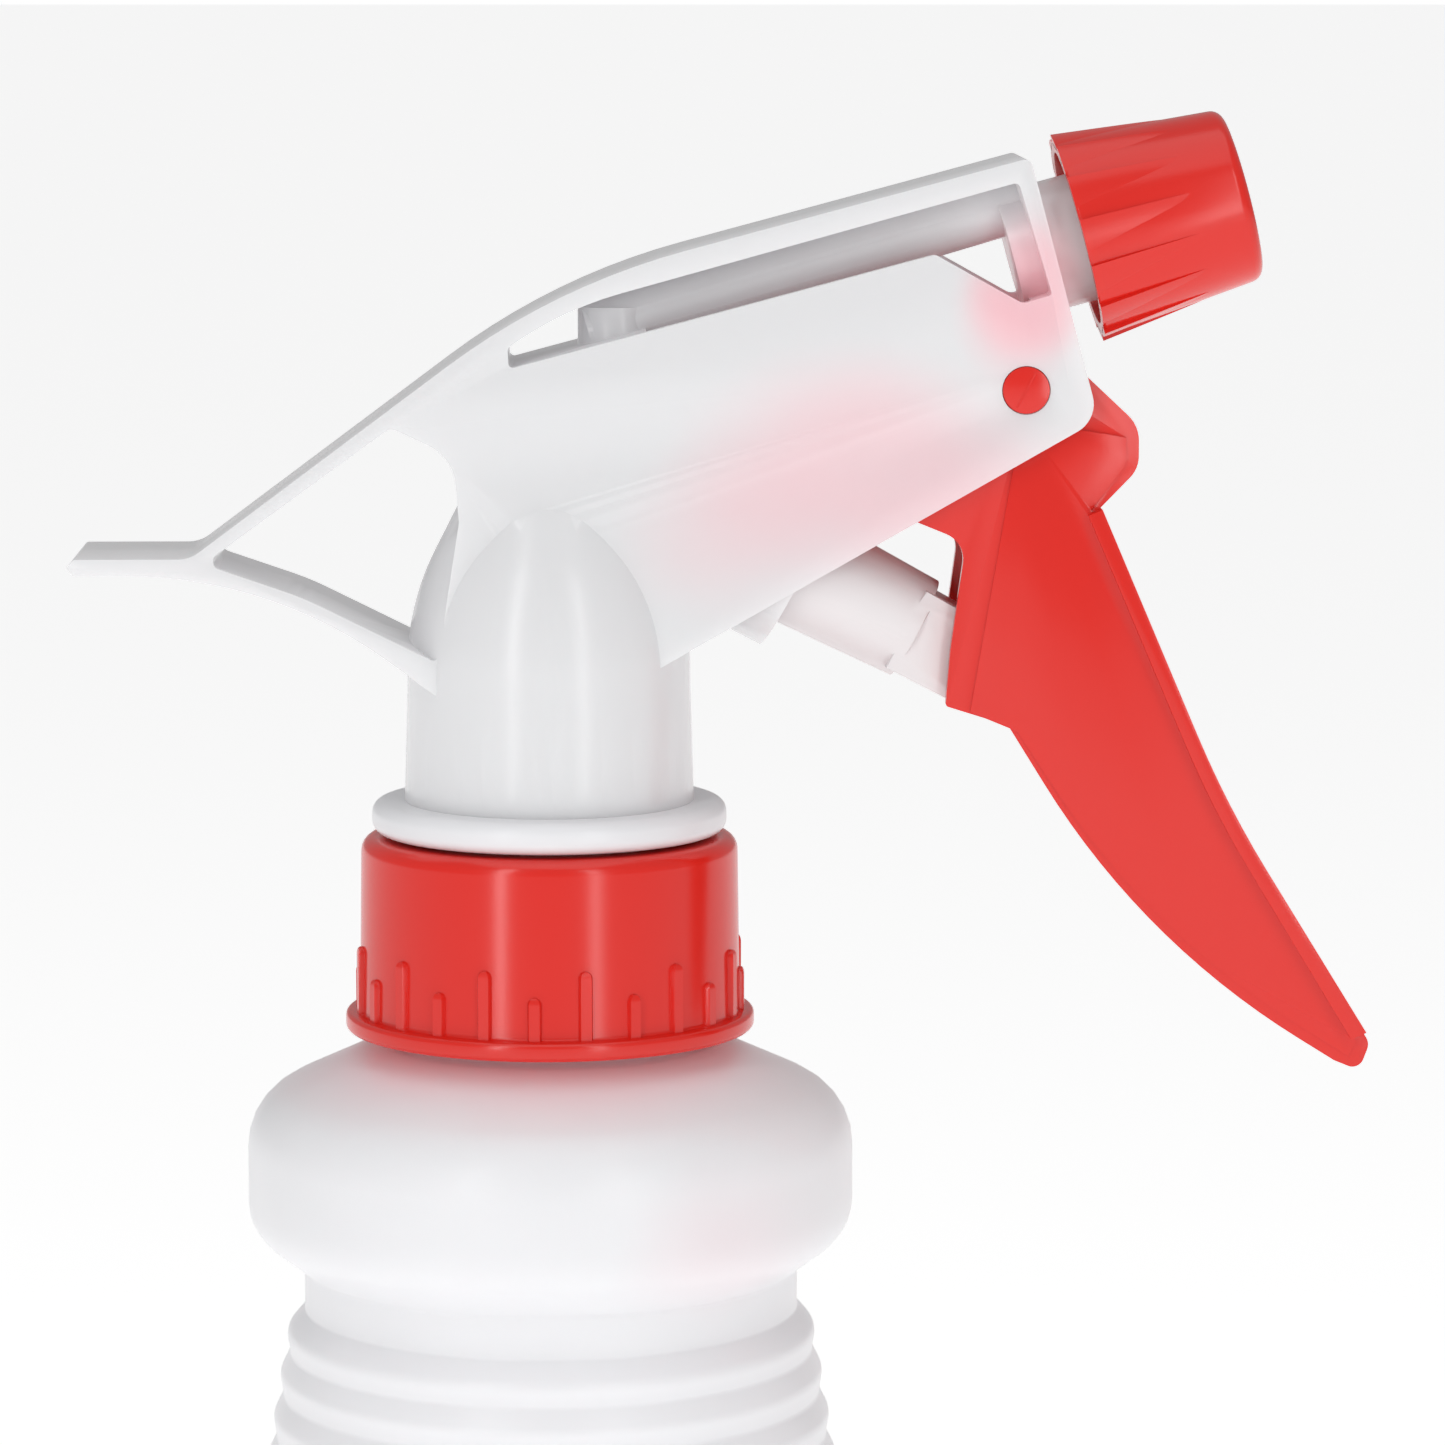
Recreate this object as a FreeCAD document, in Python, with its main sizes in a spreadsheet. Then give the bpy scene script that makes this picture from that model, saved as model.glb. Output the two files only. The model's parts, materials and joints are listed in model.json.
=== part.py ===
"""Spray bottle: a trigger spray head screwed on a ribbed plastic bottle.

Millimetres, +Z up, origin at the centre of the bottle's base. The nozzle points to +X and the hanging
loop to -X. The head's pieces are drawn in the head's own frame, whose origin is on the bottle's axis at
the height where the collar's lower edge sits, and are lifted there by their Placement.
"""
import FreeCAD, Part
import math
import os
import re

import Sketcher

Vector = FreeCAD.Vector

# The driving sizes: alias, value, what it is. Lengths in mm, angles in degrees.
DRIVING_SIZES = [
    # bottle
    ("neck_z", 165.0, "height of the collar's lower edge above the base"),
    ("body_r", 36.0, "radius of the bottle's body"),
    ("bottle_wall", 1.1, "thickness of the bottle's wall"),
    ("shoulder_r", 26.5, "radius of the bulge under the collar"),
    ("shoulder_drop", 21.1, "height of the bulge, measured down from the collar's lower edge"),
    ("band_r", 21.65, "radius of the smooth band under the bulge"),
    ("band_drop", 24.9, "lower end of the smooth band"),
    ("grip_pitch", 3.83, "spacing of the grip rings"),
    ("grip_first_r", 23.15, "radius of the first grip ring's crest"),
    ("grip_growth", 0.62, "how much wider each grip ring is than the one above"),
    ("grip_depth", 0.95, "depth of the groove between two grip rings"),
    ("base_ring_r", 27.0, "radius of the ring that the bottle stands on"),
    ("base_ring_width", 3.0, "width of the standing ring"),
    ("base_rise", 3.5, "how far the base is pushed up in its middle"),
    # neck and its screw thread
    ("neck_r", 12.6, "outer radius of the neck between the threads"),
    ("neck_wall", 1.8, "thickness of the neck's wall"),
    ("bead_high", 1.3, "height of the bead that presses the gasket on the neck"),
    ("bead_gap", 0.1, "gap between the bead and the collar's top"),
    ("neck_pitch", 4.233, "pitch of the neck thread, six to the inch"),
    ("tooth_depth", 1.05, "height of the thread's tooth"),
    ("tooth_root", 2.3, "width of the thread's tooth at its root"),
    ("tooth_crest", 1.1, "width of the thread's tooth at its crest"),
    ("neck_thread_start", 3.6, "height of the neck thread's lower end"),
    # collar
    ("collar_wall", 2.35, "thickness of the collar's wall"),
    ("collar_top", 17.0, "height of the collar"),
    ("collar_top_wall", 1.65, "thickness of the collar's top"),
    ("thread_gap", 0.5, "radial clearance over the neck thread's crest"),
    ("collar_lip", 1.35, "how far the collar's lower flange stands out"),
    ("collar_flange_high", 1.6, "height of the collar's lower flange"),
    ("grip_rib_count", 12, "number of long ribs, and of short ones"),
    ("grip_rib_width", 1.35, "width of a collar rib"),
    ("grip_rib_proud", 0.65, "how far a collar rib stands out"),
    ("long_rib_top", 7.6, "height of the long ribs"),
    ("short_rib_top", 5.4, "height of the short ribs"),
    ("rib_phase", 10.6, "angle of the first long rib"),
    # valve base
    ("disc_rim", 2.85, "how far the disc shows round the skirt"),
    ("disc_gap", 0.3, "gap between the collar's top and the disc"),
    ("disc_thick", 2.8, "thickness of the disc between collar and head"),
    ("barrel_step", 1.4, "how much narrower the turning barrel is than the neck"),
    ("skirt_wall", 3.0, "thickness of the skirt round the spigot"),
    ("spigot_high", 6.9, "height of the spigot that holds the head"),
    ("turn_gap", 0.15, "radial clearance between barrel and collar"),
    ("tube_r", 2.5, "outer radius of the dip tube"),
    ("tube_bore_r", 1.7, "bore radius of the dip tube"),
    ("tube_rise", 1.25, "how far the dip tube's upper end is above the neck's lip"),
    ("tube_standoff", 6.5, "height of the dip tube's lower end above the base"),
    ("gasket_thick", 1.2, "thickness of the neck gasket"),
    ("seal_gap", 0.1, "gap left at the neck's lip for the gasket's squeeze"),
    ("inlet_ball_r", 2.3, "radius of the inlet ball"),
    ("inlet_seat_r", 1.6, "radius of the inlet ball's seat"),
    ("inlet_depth", 2.5, "depth of the inlet ball's seat in the spigot"),
    # housing
    ("head_width", 15.3, "width of the head across its side plates"),
    ("plate_wall", 1.4, "thickness of a side plate"),
    ("skirt_r", 12.6, "radius of the skirt where it meets the disc"),
    ("dome_r", 12.2, "radius of the dome above the skirt"),
    ("dome_top", 50.0, "height of the dome's top"),
    ("strip_wall", 1.75, "thickness of the sloping top strip"),
    ("loop_wall", 1.3, "thickness of the hanging loop's two struts"),
    # spout, in a frame with its origin at the back of the nozzle cap and its axis tilted up
    ("spray_tilt", 15.0, "angle of the spout above the horizontal"),
    ("spout_x", 45.7, "x of the back of the nozzle cap, on the spout's axis"),
    ("spout_z", 68.78, "height of that point"),
    ("front_back", 2.6, "distance from that point back to the housing's front face"),
    ("strip_rise", 8.16, "distance from the spout's axis up to the top strip"),
    ("stub_end", 1.0, "where the stub ends, inside the cap"),
    ("spout_root_r", 4.0, "radius of the spout between its threads"),
    ("nose_step", 0.45, "how much narrower the spout's smooth nose is"),
    ("nose_end", 10.6, "where the spout ends"),
    ("spout_bore_r", 2.3, "radius of the spout's bore"),
    ("spout_thread_at", 2.0, "where the spout's thread starts, on its upper side"),
    ("cap_pitch", 1.5, "pitch of the nozzle cap's thread"),
    ("outlet_ball_r", 1.8, "radius of the outlet ball"),
    ("outlet_seat_r", 1.3, "radius of the outlet ball's seat"),
    ("passage_r", 1.0, "radius of the liquid passages"),
    # nozzle cap
    ("cap_back_r", 9.2, "radius of the cap's back rim, over its ribs"),
    ("cap_front_r", 7.5, "radius of the cap at its front"),
    ("cap_length", 14.7, "length of the cap"),
    ("cap_wall", 1.2, "thickness of the cap's outer wall"),
    ("sleeve_wall", 1.05, "thickness of the cap's threaded sleeve"),
    ("sleeve_gap", 0.55, "radial gap between spout and sleeve"),
    ("cap_rib_count", 14, "number of grip ribs on the cap"),
    # pump, in a frame with its axis tilted down towards the trigger
    ("pump_x", 34.48, "x of the pump frame's origin"),
    ("pump_z", 33.56, "height of the pump frame's origin"),
    ("pump_tilt", 27.4, "angle of the pump below the horizontal"),
    ("pump_bore_r", 5.6, "radius of the pump's bore"),
    ("pump_wall", 1.8, "thickness of the pump cylinder's wall"),
    ("pump_mouth", -14.4, "where the cylinder's open end is, along the pump"),
    ("pump_depth", 20.0, "length of the bore"),
    ("pump_end_wall", 1.8, "thickness of the cylinder's closed end"),
    ("lip_gap", 0.05, "radial clearance of the piston's lips in the bore"),
    ("skirt_gap", 0.55, "radial clearance of the piston's skirt in the bore"),
    ("piston_wall", 1.15, "thickness of the piston's skirt"),
    ("spring_wire_r", 0.35, "radius of the return spring's wire"),
    ("spring_gap", 0.7, "how much narrower the spring's mean radius is than the hollow"),
    ("blade_gap", 0.7, "gap between the piston's blade and the trigger's walls"),
    # trigger
    ("pivot_x", 40.84, "x of the trigger's pivot"),
    ("pivot_z", 56.21, "height of the trigger's pivot"),
    ("boss_r", 2.0, "radius of the trigger's pivot bosses"),
    ("boss_gap", 0.08, "radial clearance of the bosses in the side plates"),
    ("side_gap", 0.4, "gap between the trigger and each side plate"),
    ("trigger_wall", 1.5, "thickness of the trigger's side walls"),
    ("finger_lip", 2.7, "how much wider the trigger's finger face is than its lever"),
    ("push_pin_r", 1.25, "radius of the pin that drives the piston"),
    ("push_pin_at", 3.0, "where the pin sits along the pump"),
]

# Sizes that fit another piece: alias and the expression that it follows.
FITTED_SIZES = {
    "neck_bore_r": "neck_r - neck_wall",
    "neck_top": "collar_top - collar_top_wall - bead_gap - bead_high - gasket_thick - seal_gap",
    "collar_r": "collar_bore_r + collar_wall",
    "collar_bore_r": "neck_r + tooth_depth + thread_gap",
    "collar_flange_r": "collar_r + collar_lip",
    "flange_r": "skirt_r + disc_rim",
    "flange_low": "collar_top + disc_gap",
    "flange_high": "flange_low + disc_thick",
    "barrel_r": "neck_r - barrel_step",
    "spigot_r": "skirt_r - skirt_wall",
    "spigot_top": "flange_high + spigot_high",
    "tube_seat": "neck_top + tube_rise",
    "inlet_seat": "spigot_top - inlet_depth",
    "stub_r": "sleeve_r",
    "nose_r": "spout_root_r - nose_step",
    "sleeve_r": "sleeve_bore_r + sleeve_wall",
    "sleeve_bore_r": "spout_root_r + sleeve_gap",
    "pump_outer_r": "pump_bore_r + pump_wall",
    "piston_r": "pump_bore_r - skirt_gap",
    "piston_hollow_r": "piston_r - piston_wall",
    "spring_coil_r": "piston_hollow_r - spring_gap",
    "lever_width": "head_width - 2 * plate_wall - 2 * side_gap",
    "blade_width": "lever_width - 2 * trigger_wall - blade_gap",
    "flange_width": "lever_width + finger_lip",
}

doc = FreeCAD.newDocument("SprayBottle")
sheet = doc.addObject("Spreadsheet::Sheet", "Sizes")
for row, (alias, value, meaning) in enumerate(DRIVING_SIZES, start=1):
    sheet.set(f"A{row}", meaning)
    sheet.set(f"B{row}", str(value))
    sheet.setAlias(f"B{row}", alias)
doc.recompute()
ALIASES = {alias for alias, _, _ in DRIVING_SIZES}
pieces = []


# ---------------------------------------------------------------- helpers

def ref(text):
    """An expression in which each size's name points at its cell, and each fitted size is spelt out."""
    def swap(word):
        name = word[0]
        if name in FITTED_SIZES:
            return f"({ref(FITTED_SIZES[name])})"
        return f"Sizes.{name}" if name in ALIASES else name
    return re.sub(r"[a-z_]+", swap, str(text))


def num(text):
    """The present value of an expression."""
    return float(sheet.evalExpression(ref(text)))


def place(item, at=("0", "0"), lean="0", base="neck_z"):
    """Bind a piece's Placement: x and height above base, and a turn about +Y."""
    item.Placement = FreeCAD.Placement(Vector(0, 0, 0), FreeCAD.Rotation(Vector(0, 1, 0), num(lean)))
    item.setExpression("Placement.Base.x", ref(at[0]))
    item.setExpression("Placement.Base.z", ref(f"{base} + {at[1]}"))
    item.setExpression("Placement.Rotation.Angle", ref(lean))


def new_piece(label, at=("0", "0"), lean="0", base="neck_z"):
    """A PartDesign body in its place in the assembly."""
    body = doc.addObject("PartDesign::Body", label)
    body.Label = label
    place(body, at, lean, base)
    pieces.append(body)
    return body


def outline(body, name, corners, at=("0", "0"), tilt="0", plane="XZ_Plane", spin=None):
    """A closed sketch on one of the body's own planes.

    Each corner is (x, y) or (x, y, radius), all expressions. A rounded corner is an arc that is tangent to
    both sides, with the sharp corner kept as a construction point. The sketch is moved by at and turned
    by tilt in its plane, or turned by spin about the plane's upright.
    """
    sketch = body.newObject("Sketcher::SketchObject", f"{body.Label}_{name}")
    support = next(item for item in body.Origin.OriginFeatures if item.Role == plane)
    sketch.AttachmentSupport = (support, "")
    sketch.MapMode = "FlatFace"
    turn_axis = Vector(0, 0, 1) if spin is None else Vector(0, 1, 0)
    turn = tilt if spin is None else spin
    sketch.AttachmentOffset = FreeCAD.Placement(Vector(0, 0, 0), FreeCAD.Rotation(turn_axis, num(turn)))
    sketch.setExpression("AttachmentOffset.Base.x", ref(at[0]))
    sketch.setExpression("AttachmentOffset.Base.y", ref(at[1]))
    sketch.setExpression("AttachmentOffset.Rotation.Angle", ref(turn))

    points = [Vector(num(corner[0]), num(corner[1]), 0) for corner in corners]
    count = len(points)
    ends = []
    for index, corner in enumerate(corners):
        here = points[index]
        if len(corner) == 2:
            ends.append((here, here))
            continue
        before = (points[index - 1] - here).normalize()
        after = (points[(index + 1) % count] - here).normalize()
        reach = num(corner[2]) / math.tan(before.getAngle(after) / 2)
        ends.append((here + before * reach, here + after * reach))
    for index in range(count):
        sketch.addGeometry(Part.LineSegment(ends[index][1], ends[(index + 1) % count][0]), False)

    def fix(geometry, corner):
        for kind, value in (("DistanceX", corner[0]), ("DistanceY", corner[1])):
            number = sketch.addConstraint(Sketcher.Constraint(kind, -1, 1, geometry, 1, num(value)))
            sketch.setExpression(f"Constraints[{number}]", ref(value))

    for index, corner in enumerate(corners):
        side_in, side_out = (index - 1) % count, index
        if len(corner) == 2:
            sketch.addConstraint(Sketcher.Constraint("Coincident", side_in, 2, side_out, 1))
            fix(side_out, corner)
            continue
        start, end = ends[index]
        here = points[index]
        half = (start - here).getAngle(end - here) / 2
        radius = num(corner[2])
        inward = ((start - here).normalize() + (end - here).normalize()).normalize()
        middle = here + inward * (radius / math.sin(half) - radius)
        arc = sketch.addGeometry(Part.Arc(start, middle, end), False)
        first = 1 if sketch.getPoint(arc, 1).distanceToPoint(start) < radius * 1e-4 else 2
        sharp = sketch.addGeometry(Part.Point(here), True)
        sketch.addConstraint(Sketcher.Constraint("Tangent", side_in, 2, arc, first))
        sketch.addConstraint(Sketcher.Constraint("Tangent", arc, 3 - first, side_out, 1))
        number = sketch.addConstraint(Sketcher.Constraint("Radius", arc, radius))
        sketch.setExpression(f"Constraints[{number}]", ref(corner[2]))
        sketch.addConstraint(Sketcher.Constraint("PointOnObject", sharp, 1, side_in))
        sketch.addConstraint(Sketcher.Constraint("PointOnObject", sharp, 1, side_out))
        fix(sharp, corner)
    return sketch


def volume_of(body):
    doc.recompute()
    return body.Shape.Volume


def add_feature(body, kind, name, sketch, cuts, **settings):
    """A feature from a sketch, checked to have added or removed material."""
    had = volume_of(body) if body.Tip else 0.0
    feature = body.newObject(kind, f"{body.Label}_{name}")
    feature.Profile = sketch
    for key, value in settings.items():
        if key in ("Length", "Pitch", "Height"):
            feature.setExpression(key, ref(value))
        else:
            setattr(feature, key, value)
    now = volume_of(body)
    if (cuts and now > had - 1e-6) or (not cuts and now < had + 1e-6):
        raise RuntimeError(f"{feature.Name} changed nothing: {had} to {now}")
    return feature


def turned(body, name, profile, cuts=False, axis="V_Axis", at=("0", "0"), tilt="0"):
    """Turn a profile round an axis: (radius, height) about V_Axis, (along, radius) about H_Axis."""
    sketch = outline(body, name + "_profile", profile, at, tilt)
    kind = "PartDesign::Groove" if cuts else "PartDesign::Revolution"
    return add_feature(body, kind, name, sketch, cuts, ReferenceAxis=(sketch, [axis]), Angle=360)


def rod(body, name, start, end, radius, at, tilt, cuts=False):
    """A round bar, or a drilled hole, along a tilted line in the middle plane."""
    profile = [(start, "0"), (end, "0"), (end, radius), (start, radius)]
    return turned(body, name, profile, cuts, "H_Axis", at, tilt)


def plate(body, name, corners, width, cuts=False, **where):
    """A flat shape in the middle plane, made width thick to both sides."""
    sketch = outline(body, name + "_outline", corners, **where)
    kind = "PartDesign::Pocket" if cuts else "PartDesign::Pad"
    return add_feature(body, kind, name, sketch, cuts, SideType="Symmetric", Length=width)


def circle_sketch(body, name, x, z, radius):
    """A circle on the body's middle plane."""
    sketch = body.newObject("Sketcher::SketchObject", f"{body.Label}_{name}_circle")
    support = next(item for item in body.Origin.OriginFeatures if item.Role == "XZ_Plane")
    sketch.AttachmentSupport = (support, "")
    sketch.MapMode = "FlatFace"
    centre = Vector(num(x), num(z), 0)
    circle = sketch.addGeometry(Part.Circle(centre, Vector(0, 0, 1), num(radius)), False)
    for kind, value in (("DistanceX", x), ("DistanceY", z)):
        number = sketch.addConstraint(Sketcher.Constraint(kind, -1, 1, circle, 3, num(value)))
        sketch.setExpression(f"Constraints[{number}]", ref(value))
    number = sketch.addConstraint(Sketcher.Constraint("Radius", circle, num(radius)))
    sketch.setExpression(f"Constraints[{number}]", ref(radius))
    return sketch


def disc(body, name, x, z, radius, width, cuts=False):
    """A round bar or hole across the head, along Y."""
    sketch = circle_sketch(body, name, x, z, radius)
    kind = "PartDesign::Pocket" if cuts else "PartDesign::Pad"
    return add_feature(body, kind, name, sketch, cuts, SideType="Symmetric", Length=width)


def helix(body, name, section, pitch, rise):
    """Wind a section of (radius, height) corners round the upright axis, joined to the body."""
    sketch = outline(body, name + "_section", section)
    return add_feature(body, "PartDesign::AdditiveHelix", name, sketch, False,
                       ReferenceAxis=(sketch, ["V_Axis"]), Mode="pitch-height-angle",
                       Pitch=pitch, Height=rise)


def tooth(root, crest, start, root_width, crest_width):
    """The four corners of a thread's tooth, its root sunk a little into the wall."""
    return [(root, f"{start} - {root_width} / 2"), (crest, f"{start} - {crest_width} / 2"),
            (crest, f"{start} + {crest_width} / 2"), (root, f"{start} + {root_width} / 2")]


def round_array(body, name, feature, count):
    """Repeat a feature round the body's upright axis."""
    pattern = body.newObject("PartDesign::PolarPattern", f"{body.Label}_{name}")
    pattern.Originals = [feature]
    upright = next(item for item in body.Origin.OriginFeatures if item.Role == "Z_Axis")
    pattern.Axis = (upright, [""])
    pattern.Angle = 360
    pattern.setExpression("Occurrences", ref(count))
    body.Tip = pattern
    doc.recompute()


# ---------------------------------------------------------------- bottle

def make_bottle():
    """One blown shell. Heights are above the base; the grip rings get wider downwards."""
    bottle = new_piece("bottle", base="0")
    rings = 9
    corners = [
        ("0", "base_rise"),
        ("base_ring_r - 9", "base_rise", "8"),
        ("base_ring_r - base_ring_width / 2", "0", "0.8"),
        ("base_ring_r + base_ring_width / 2", "0", "1"),
        ("body_r", "3.5", "4"),
        ("body_r", "neck_z - band_drop - grip_pitch * 12.5", "14"),
    ]
    lowest = f"grip_first_r + grip_growth * {rings} - grip_depth"
    corners.append((lowest, f"neck_z - band_drop - grip_pitch * {rings} - 0.4", "6"))
    for ring in reversed(range(rings)):
        crest = f"grip_first_r + grip_growth * {ring}"
        crest_z = f"neck_z - band_drop - grip_pitch * ({ring} + 0.5)"
        corners.append((f"{crest} + 0.15", crest_z, "1.4"))
        if ring:
            valley_z = f"neck_z - band_drop - grip_pitch * {ring}"
            corners.append((f"{crest} - grip_depth + 0.15", valley_z, "0.8"))
    corners += [
        ("band_r", "neck_z - band_drop", "0.5"),
        ("band_r", "neck_z - shoulder_drop", "0.8"),
        ("shoulder_r", "neck_z - shoulder_drop + 3.6", "4.5"),
        ("shoulder_r", "neck_z - 6.5", "6"),
        ("neck_r + 2.2", "neck_z - 1.1", "2"),
        ("neck_r", "neck_z - 0.9", "0.4"),
        ("neck_r", "neck_z + neck_top", "0.5"),
        ("0", "neck_z + neck_top"),
    ]
    turned(bottle, "shell", corners)
    inner_cone_low = f"grip_first_r + grip_growth * {rings} - grip_depth - bottle_wall"
    turned(bottle, "hollow", [
        ("0", "base_rise + bottle_wall"),
        ("base_ring_r - 9", "base_rise + bottle_wall", "7"),
        ("base_ring_r - base_ring_width / 2", "bottle_wall + 0.6", "0.6"),
        ("base_ring_r + base_ring_width / 2", "bottle_wall + 0.6", "0.8"),
        ("body_r - bottle_wall", "bottle_wall + 4.2", "3.5"),
        ("body_r - bottle_wall", "neck_z - band_drop - grip_pitch * 12.5 - 0.5", "14"),
        (inner_cone_low, f"neck_z - band_drop - grip_pitch * {rings} - 0.4", "6"),
        ("band_r - bottle_wall", "neck_z - band_drop - 1", "4"),
        ("band_r - bottle_wall", "neck_z - shoulder_drop + 0.4", "1.2"),
        ("shoulder_r - bottle_wall", "neck_z - shoulder_drop + 4.4", "3.8"),
        ("shoulder_r - bottle_wall", "neck_z - 7.4", "5"),
        ("neck_bore_r", "neck_z - 1.6", "1"),
        ("neck_bore_r", "neck_z + neck_top + 1"),
        ("0", "neck_z + neck_top + 1"),
    ], cuts=True)
    helix(bottle, "thread", tooth("neck_r - 0.3", "neck_r + tooth_depth", "neck_z + neck_thread_start",
                                  "tooth_root", "tooth_crest"), "neck_pitch", "neck_pitch * 1.7")


# ---------------------------------------------------------------- collar, gasket, valve base, tube

def make_collar():
    """The screw cap: a cup with a lower flange, short grip ribs and an inner thread."""
    collar = new_piece("collar")
    turned(collar, "cup", [
        ("0", "0"), ("collar_flange_r", "0", "0.5"), ("collar_flange_r", "collar_flange_high", "0.4"),
        ("collar_r + 0.1", "collar_flange_high"), ("collar_r - 0.1", "collar_top", "1.3"), ("0", "collar_top")])
    for name, top, phase in (("long", "long_rib_top", "rib_phase"),
                             ("short", "short_rib_top", "rib_phase + 180 / grip_rib_count")):
        half = "grip_rib_width / 2"
        sketch = outline(collar, f"{name}_rib_face", [
            (f"-{half}", "collar_flange_high / 2"), (half, "collar_flange_high / 2"),
            (half, top, "grip_rib_width * 0.45"), (f"-{half}", top, "grip_rib_width * 0.45")],
            plane="YZ_Plane", spin=phase)
        rib = add_feature(collar, "PartDesign::Pad", f"{name}_rib", sketch, False,
                          Length="collar_r + grip_rib_proud")
        round_array(collar, f"{name}_ribs", rib, "grip_rib_count")
    turned(collar, "bore", [
        ("0", "-1"), ("collar_bore_r", "-1"), ("collar_bore_r", "collar_top - collar_top_wall"),
        ("barrel_r + turn_gap", "collar_top - collar_top_wall"), ("barrel_r + turn_gap", "collar_top + 1"),
        ("0", "collar_top + 1")], cuts=True)
    start = "(neck_thread_start - neck_pitch / 2)"
    helix(collar, "thread", tooth("collar_bore_r + 0.3", "collar_bore_r - tooth_depth", start,
                                  "tooth_root", "tooth_crest"), "neck_pitch", "neck_pitch * 1.25")


def make_valve_base():
    """The disc between collar and head, with the barrel, tube socket and inlet seat below and above it."""
    base = new_piece("valve_base")
    bead_top = "collar_top - collar_top_wall - bead_gap"
    bead_low = "neck_top + seal_gap + gasket_thick"
    plug_r = "neck_bore_r - 0.4"
    turned(base, "body", [
        ("inlet_seat_r", "tube_seat + 0.1"), ("inlet_seat_r", "inlet_seat"),
        ("inlet_ball_r + 0.6", "inlet_seat"), ("inlet_ball_r + 0.6", "spigot_top"),
        ("spigot_r", "spigot_top", "0.4"), ("spigot_r", "flange_high"),
        ("flange_r", "flange_high", "1.1"), ("flange_r", "flange_low", "1.1"),
        ("barrel_r", "flange_low"), ("barrel_r", bead_top),
        ("neck_r - 0.05", bead_top), ("neck_r - 0.05", bead_low),
        (plug_r, bead_low), (plug_r, "neck_top - 3.6", "0.3"),
        (f"{plug_r} - 1.2", "neck_top - 3.6"), (f"{plug_r} - 1.2", f"{bead_low} + 0.6"),
        ("tube_r + 1.5", f"{bead_low} + 0.6"), ("tube_r + 1.5", "tube_seat - 12"),
        ("tube_r + 0.02", "tube_seat - 12"), ("tube_r + 0.02", "tube_seat + 0.1")])

    gasket = new_piece("neck_gasket")
    turned(gasket, "ring", [
        (f"{plug_r} + 0.05", "neck_top + seal_gap"), ("neck_r + 0.2", "neck_top + seal_gap"),
        ("neck_r + 0.2", bead_low), (f"{plug_r} + 0.05", bead_low)])

    tube = new_piece("dip_tube")
    turned(tube, "tube", [
        ("tube_bore_r", "tube_standoff - neck_z"), ("tube_r", "tube_standoff - neck_z"),
        ("tube_r", "tube_seat"), ("tube_bore_r", "tube_seat")])


def make_ball(label, radius, at):
    ball = doc.addObject("Part::Sphere", label)
    ball.Label = label
    ball.setExpression("Radius", ref(radius))
    place(ball, at)
    pieces.append(ball)


def make_balls():
    """Each ball rests on its seat's edge, lifted by a hair."""
    seat_lift = "sqrt(inlet_ball_r * inlet_ball_r - inlet_seat_r * inlet_seat_r) + 0.03"
    make_ball("inlet_ball", "inlet_ball_r", ("0", f"inlet_seat + {seat_lift}"))
    along = f"({OUTLET_BALL_AT})"
    make_ball("outlet_ball", "outlet_ball_r", (f"spout_x + {along} * cos(spray_tilt * 1 deg)",
                                               f"spout_z + {along} * sin(spray_tilt * 1 deg)"))


# ---------------------------------------------------------------- housing

OUTLET_SEAT_AT = "1.4 - front_back"
OUTLET_BALL_AT = (f"{OUTLET_SEAT_AT} + 0.04"
                  " + sqrt(outlet_ball_r * outlet_ball_r - outlet_seat_r * outlet_seat_r)")


def on_spout(along, rise):
    """A point given along and above the spout's axis, in the head's frame."""
    tilt = "spray_tilt * 1 deg"
    return (f"spout_x + ({along}) * cos({tilt}) - ({rise}) * sin({tilt})",
            f"spout_z + ({along}) * sin({tilt}) + ({rise}) * cos({tilt})")


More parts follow.
